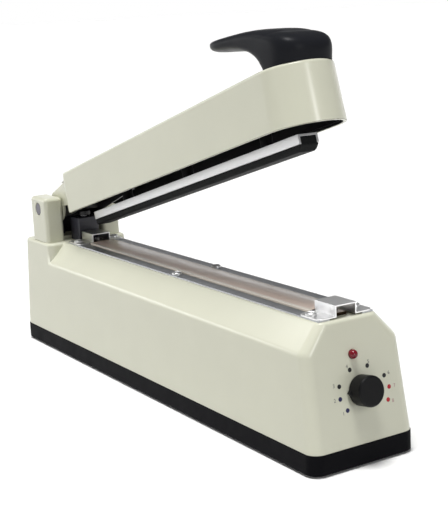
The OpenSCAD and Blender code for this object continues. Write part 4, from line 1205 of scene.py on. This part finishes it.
@dataclass
class Handle(SubAssembly):
    """The hooked handle, lofted between a rail up its front and over its crest and one under its hook."""

    # An order says how square a rounded line is: 2 is a circle, and more is squarer. Places without a unit
    # are shares of the handle's length along its rails.
    kept: ClassVar[tuple[str, ...]] = ("handle_screws",)
    front_mm: float = 399.7
    length_mm: float = 102.9
    foot_l_mm: float = 36.4
    rise_mm: float = 35.0
    seat_mm: float = 28.1
    tip_t_mm: float = 8.5
    tip_lift_mm: float = 5.5
    lift_order: float = 4.3
    foot_half_mm: float = 22.0
    hook_half_mm: float = 21.0
    crest_order: float = 2.5
    turn_order: float = 1.25
    bow_mm: float = 4.6
    bow_end: float = 0.33
    bend_at: float = 0.3
    bend_run: float = 0.5
    foot_order: float = 2.5
    bend_order: float = 3.9
    hook_order: float = 2.75
    neck_order: float = 7.0
    neck_bulge_mm: float = 7.5
    neck_lean_mm: float = 8.25
    neck_up_mm: float = 22.0
    hook_reach_mm: float = 43.5
    hook_up_mm: float = 20.5
    tip_in_mm: float = 2.0
    tip_at: float = 0.985
    tip_round: float = 0.74
    tip_order: int = 3
    stations: int = 120
    sides: int = 96
    sharp_deg: float = 60.0

    def model(self) -> None:
        """Lofts the handle."""
        body = bmesh.new()
        skin(body, [self.section(self.tip_at * i / self.stations) for i in range(self.stations + 1)])
        handle = new_piece("handle.lofted", body)
        even_shading(handle, self.sharp_deg)
        stand_for(handle, "handle")

    def crest(self, t: float) -> Vector:
        """Gives a point of the outer rail.

        Args:
            t: the place along the handle, from 0 to 1.

        Returns:
            The distances along the arm and above it, in millimetres.
        """
        angle = math.pi / 2 * (1 - (1 - t) ** self.turn_order)
        bow = min(1.0, t / self.bow_end)
        along = self.front_mm - self.length_mm + self.length_mm * power(math.cos(angle), self.crest_order)
        above = self.seat_mm + self.rise_mm * power(math.sin(angle), self.crest_order)
        # The front bows out up to the bend, and the tip is lifted at the end.
        along += 4 * self.bow_mm * bow * (1 - bow)
        above += self.tip_lift_mm * t ** self.lift_order
        return Vector((along, above))

    def under(self, t: float) -> Vector:
        """Gives a point of the inner rail.

        Args:
            t: the place along the handle, from 0 to 1.

        Returns:
            The distances along the arm and above it, in millimetres.
        """
        back, tip = self.front_mm - self.foot_l_mm, self.front_mm - self.length_mm
        pulls = (
            Vector((back, self.seat_mm)),
            Vector((back - self.neck_lean_mm, self.seat_mm + self.neck_up_mm)),
            Vector((tip + self.hook_reach_mm, self.seat_mm + self.hook_up_mm)),
            Vector((tip + self.tip_in_mm, self.seat_mm + self.rise_mm + self.tip_lift_mm - self.tip_t_mm)),
        )
        rest = 1 - t
        shares = (rest ** 3, 3 * rest ** 2 * t, 3 * rest * t ** 2, t ** 3)
        return sum((share * pull for share, pull in zip(shares, pulls)), Vector((0.0, 0.0)))

    def half_width(self, t: float) -> float:
        """Gives half the handle's width.

        Args:
            t: the place along the handle, from 0 to 1.

        Returns:
            The half width, in millimetres.
        """
        plain = self.foot_half_mm + (self.hook_half_mm - self.foot_half_mm) * smooth_step(t / self.tip_round)
        past = max(0.0, (t - self.tip_round) / (1 - self.tip_round))
        return plain * math.sqrt(1 - past ** self.tip_order)

    def section(self, t: float) -> list[Vector]:
        """Gives the handle's section.

        Args:
            t: the place along the handle, from 0 to 1.

        Returns:
            The points of the section in the shared frame.
        """
        to_bend, to_hook = smooth_step(t / self.bend_at), smooth_step((t - self.bend_at) / self.bend_run)
        front_order = self.foot_order + (self.bend_order - self.foot_order) * to_bend
        front_order += (self.hook_order - self.bend_order) * to_hook
        back_order = self.neck_order + (self.hook_order - self.neck_order) * to_hook
        outer, inner = self.crest(t), self.under(t)
        middle, half = (outer + inner) / 2, (outer - inner) / 2
        # Between its crisp corners the neck's back swells out to the inner rail.
        swell = self.neck_bulge_mm * (1 - smooth_step(t)) / half.length
        points = []
        for i in range(self.sides):
            angle = 2 * math.pi * i / self.sides
            order = front_order if math.sin(angle) >= 0 else back_order
            out, across = power(math.sin(angle), order), power(math.cos(angle), order)
            if out < 0:
                out = (1 - swell) * out - swell * (1 - across ** 2)
            place = middle + half * out
            points.append(from_arm(place.x, self.half_width(t) * across, place.y))
        return points


@dataclass
class Panel(SubAssembly):
    """The knob with its printed dial, the lamp and the timer behind the front panel."""

    remade: ClassVar[dict[str, Edge]] = {"timer_knob": Edge.SOFT, "lamp_lens": Edge.SHEARED}
    kept: ClassVar[tuple[str, ...]] = (
        "potentiometer", "potentiometer_nut", "potentiometer_shaft", "timer_board", "timer_capacitors",
        "timer_relay", "lamp_body",
    )
    # The marks stand on a leaning ellipse, shifted from the knob's axis.
    ring_w_mm: float = 20.0
    ring_h_mm: float = 16.8
    shift_y_mm: float = 2.8
    shift_up_mm: float = -1.3
    lean: float = -0.15
    dot_r_mm: float = 1.5
    dot_sides: int = 32
    # Radius and height of the dot's rim, as shares of the dot's own.
    dot_profile: tuple[tuple[float, float], ...] = ((1.0, 0.0), (1.0, 0.5), (0.96, 0.85), (0.88, 1.0))
    digit_mm: float = 2.4
    # Size of the letters per height of a digit.
    letter_share: float = 1.4
    digit_out_mm: float = 4.4
    digit_rise_mm: float = 2.6
    print_t_mm: float = 0.04
    print_gap_mm: float = 0.01
    print_weld_mm: float = 0.001
    print_sharp_deg: float = 30.0
    # Angles of the marks from the dial's top, on one side.
    half_angles: tuple[float, ...] = (20.8, 66.0, 94.2, 124.0)

    def model(self) -> None:
        """Prints the dial."""
        marks = [-angle for angle in self.half_angles[::-1]] + list(self.half_angles)
        dot_inks = [Ink.NAVY] * 2 + [Ink.BLACK] * 4 + [Ink.RED] * 2
        digit_inks = [Ink.GREY] * 6 + [Ink.ROSE] * 2
        places = self.panel_frame()
        for number, (angle, dot_ink, digit_ink) in enumerate(zip(marks, dot_inks, digit_inks), start=1):
            self.print_dot(places, number, angle, INKS[dot_ink])
            self.print_digit(places, number, angle, INKS[digit_ink])

    def panel_frame(self) -> Matrix:
        """Finds the frame of the dial on the panel.

        Returns:
            The frame, with X to the right, Y up the panel and Z out of it.
        """
        knob = JOINTS["knob_turn"]
        out = -Vector(knob["axis"]).normalized()
        right = Vector((0.0, 1.0, 0.0))
        rows = Matrix((right, out.cross(right), out)).transposed().to_4x4()
        return Matrix.Translation(Vector(knob["pos_m"])) @ rows

    def spot(self, angle: float, out_mm: float = 0.0, rise_mm: float = 0.0) -> tuple[float, float]:
        """Gives a place on the dial's ring, in millimetres.

        Args:
            angle: the angle from the top, clockwise, in degrees.
            out_mm: how much wider than the ring of dots.
            rise_mm: how much higher than the ring of dots.

        Returns:
            The place to the right and up.
        """
        turned = math.radians(angle)
        up = (self.ring_h_mm + rise_mm) * math.cos(turned)
        right = (self.ring_w_mm + out_mm) * math.sin(turned) + self.lean * up
        return self.shift_y_mm + right, self.shift_up_mm + up

    def print_dot(self, places: Matrix, number: int, angle: float, ink: Finish) -> None:
        """Prints a round dot with a soft rim.

        Args:
            places: the dial's frame.
            number: the mark's number.
            angle: the mark's angle, in degrees.
            ink: the ink.
        """
        right, up = self.spot(angle)
        turns = [2 * math.pi * i / self.dot_sides for i in range(self.dot_sides)]
        rings = []
        for share, rise in self.dot_profile:
            reach, height = self.dot_r_mm * share, self.print_t_mm * rise + self.print_gap_mm
            ring = [Vector((right + reach * math.cos(a), up + reach * math.sin(a), height)) for a in turns]
            rings.append([places @ (MM * point) for point in ring])
        body = bmesh.new()
        skin(body, rings)
        self.put_print(new_piece(f"dial_dot_{number}", body), ink)

    def print_digit(self, places: Matrix, number: int, angle: float, ink: Finish) -> None:
        """Prints a plain number beside its dot.

        Args:
            places: the dial's frame.
            number: the number.
            angle: the mark's angle, in degrees.
            ink: the ink.
        """
        right, up = self.spot(angle, self.digit_out_mm, self.digit_rise_mm)
        letter = bpy.data.curves.new(f"digit_{number}", "FONT")
        letter.body = str(number)
        letter.align_x = "CENTER"
        letter.align_y = "CENTER"
        letter.size = self.digit_mm * MM * self.letter_share
        letter.extrude = self.print_t_mm * MM / 2
        carrier = bpy.data.objects.new(letter.name, letter)
        bpy.context.scene.collection.objects.link(carrier)
        mesh = bpy.data.meshes.new_from_object(carrier.evaluated_get(bpy.context.evaluated_depsgraph_get()))
        bpy.data.objects.remove(carrier)
        bpy.data.curves.remove(letter)
        middle = Vector((right, up, self.print_t_mm / 2 + self.print_gap_mm))
        mesh.transform(places @ Matrix.Translation(MM * middle))
        body = bmesh.new()
        body.from_mesh(mesh)
        bmesh.ops.remove_doubles(body, verts=body.verts, dist=self.print_weld_mm * MM)
        bpy.data.meshes.remove(mesh)
        piece = new_piece(f"dial_digit_{number}", body)
        piece.data.set_sharp_from_angle(angle=math.radians(self.print_sharp_deg))
        self.put_print(piece, ink)

    def put_print(self, piece: bpy.types.Object, ink: Finish) -> None:
        """Puts a printed mark on the panel.

        Args:
            piece: the mark.
            ink: its ink.
        """
        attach(piece, "base")
        piece.data.materials.append(ink.material())
        LOG.info("%s is printed on the panel", piece.name)


@dataclass
class Transformer(SubAssembly):
    """The transformer in the tray: laminated core, winding and strap."""

    kept: ClassVar[tuple[str, ...]] = ("transformer_core", "transformer_coil", "transformer_strap")


@dataclass(frozen=True)
class Sun:
    """A broad light far away, standing in a direction seen from the object."""

    name: str
    way: Point
    strength: float
    angle_deg: float
    in_gloss: bool = True


@dataclass(frozen=True)
class SoftBox:
    """A soft box that hangs at a point and lights another."""

    name: str
    at: Point
    aim: Point
    size: tuple[float, float]
    power_w: float


@dataclass
class Studio:
    """The pale floor, the soft lights and the camera."""

    floor_size: float = 400.0
    floor_cells: int = 8
    paper: Finish = BackdropPaper("white_paper_matt", "#FAFAF9", "#C4C4C2")
    # The camera's place and its own axes.
    eye: Point = (0.7919, -0.4483, 0.2899)
    right: Point = (0.53129, 0.84567, -0.05074)
    up: Point = (-0.14261, 0.14831, 0.97861)
    back: Point = (0.8351, -0.51269, 0.19939)
    lens_mm: float = 83.93
    # A soft key above and a low fill beside, which is too large and too even to show in a gloss.
    suns: tuple[Sun, ...] = (
        Sun("key", (0.03, -0.1, 0.95), 2.97, 22.0),
        Sun("fill", (0.0, -1.0, 0.25), 0.58, 25.0, in_gloss=False),
    )
    # Two boxes behind and a narrow strip in front.
    boxes: tuple[SoftBox, ...] = (
        SoftBox("side_box", (-2.25, -1.36, 0.69), (0.05, 0.0, 0.15), (0.8, 0.6), 6.0),
        SoftBox("sheen_box", (-0.86, -0.5, 0.92), (0.2, -0.03, 0.1), (0.3, 0.3), 1.0),
        SoftBox("front_strip", (1.4, 0.1, 0.62), (0.16, 0.0, 0.23), (0.07, 0.5), 3.2),
    )
    surround: float = 0.16
    sweep: float = 1.2
    ceiling: float = 0.12
    # The sweep's direction, and the cosines at which it begins and is full.
    sweep_way: Point = (-0.85, 0.52, 0.0)
    sweep_from: float = 0.35
    sweep_full: float = 0.8
    # The heights, as sines, at which the sweep ends and the ceiling begins.
    sweep_top: float = 0.12
    ceiling_foot: float = 0.24

    def build(self) -> None:
        """Lays the floor, hangs the lights and sets the camera."""
        self.lay_floor()
        self.light_world()
        self.hang_lights()
        self.set_camera()
        bpy.context.scene.view_settings.view_transform = "Standard"

    def lay_floor(self) -> None:
        """Lays a pale floor that runs out of sight."""
        body = bmesh.new()
        cells = self.floor_cells
        bmesh.ops.create_grid(body, x_segments=cells, y_segments=cells, size=self.floor_size / 2)
        floor = new_piece("studio_floor", body)
        floor.data.materials.append(self.paper.material())

    def light_world(self) -> None:
        """Surrounds the object with soft light: a bright low sweep behind it and a darker ceiling above."""
        world = bpy.data.worlds.new("studio_surround")
        bpy.context.scene.world = world
        world.use_nodes = True
        tree = world.node_tree
        tree.nodes.clear()
        way = add_node(tree, "TexCoord").outputs["Generated"]
        height = add_node(tree, "SeparateXYZ", {"Vector": way}).outputs["Z"]
        behind = add_node(tree, "VectorMath", {0: way, 1: self.sweep_way}, operation="DOT_PRODUCT")
        reach = {"From Min": self.sweep_from, "From Max": self.sweep_full}
        share = add_node(tree, "MapRange", {"Value": behind, **reach})
        rise = {"From Min": self.sweep_top, "From Max": self.ceiling_foot}
        levels = {"To Min": self.sweep, "To Max": self.ceiling}
        sweep = add_node(tree, "MapRange", {"Value": height, **rise, **levels})
        level = add_node(tree, "Mix", {SHARE: share, LOW: self.surround, HIGH: sweep}, data_type="FLOAT")
        white = linear("#FFFFFF")
        light = add_node(tree, "Background", {"Color": white, "Strength": level})
        plain = add_node(tree, "Background", {"Color": white, "Strength": 1.0})
        seen = add_node(tree, "LightPath").outputs["Is Camera Ray"]
        both = add_node(tree, "MixShader", {0: seen, 1: light, 2: plain})
        add_node(tree, "OutputWorld", {"Surface": both})

    def hang_lights(self) -> None:
        """Hangs the suns and the soft boxes."""
        for sun in self.suns:
            light = bpy.data.lights.new(sun.name, "SUN")
            light.energy = sun.strength
            light.angle = math.radians(sun.angle_deg)
            self.place(light, Vector(sun.way), Vector()).visible_glossy = sun.in_gloss
        for box in self.boxes:
            light = bpy.data.lights.new(box.name, "AREA")
            light.shape = "RECTANGLE"
            light.size, light.size_y = box.size
            light.energy = box.power_w
            self.place(light, Vector(box.at), Vector(box.aim))

    def place(self, light: bpy.types.Light, at: Vector, aim: Vector) -> bpy.types.Object:
        """Puts a light at a point and turns it to another.

        Args:
            light: the light.
            at: where it hangs.
            aim: what it points at.

        Returns:
            The light in its place.
        """
        lamp = bpy.data.objects.new(light.name, light)
        lamp.location = at
        lamp.rotation_euler = (aim - at).to_track_quat("-Z", "Y").to_euler()
        bpy.context.scene.collection.objects.link(lamp)
        return lamp

    def set_camera(self) -> None:
        """Sets the camera at the photograph's viewing angle."""
        lens = bpy.data.cameras.new("camera")
        lens.lens = self.lens_mm
        camera = bpy.data.objects.new("camera", lens)
        turn = Matrix((self.right, self.up, self.back)).transposed().to_4x4()
        camera.matrix_world = Matrix.Translation(self.eye) @ turn
        bpy.context.scene.collection.objects.link(camera)
        bpy.context.scene.camera = camera


def main() -> None:
    """Builds and dresses the sub-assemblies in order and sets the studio."""
    logging.basicConfig(level=logging.INFO, format="%(name)s: %(message)s")
    for kind in (Housing, Hinge, Lift, Jaw, Arm, Handle, Panel, Transformer):
        assembly = kind()
        assembly.build()
        assembly.dress()
        LOG.info("%s done", kind.__name__)
    Studio().build()


if __name__ == "__main__":
    main()
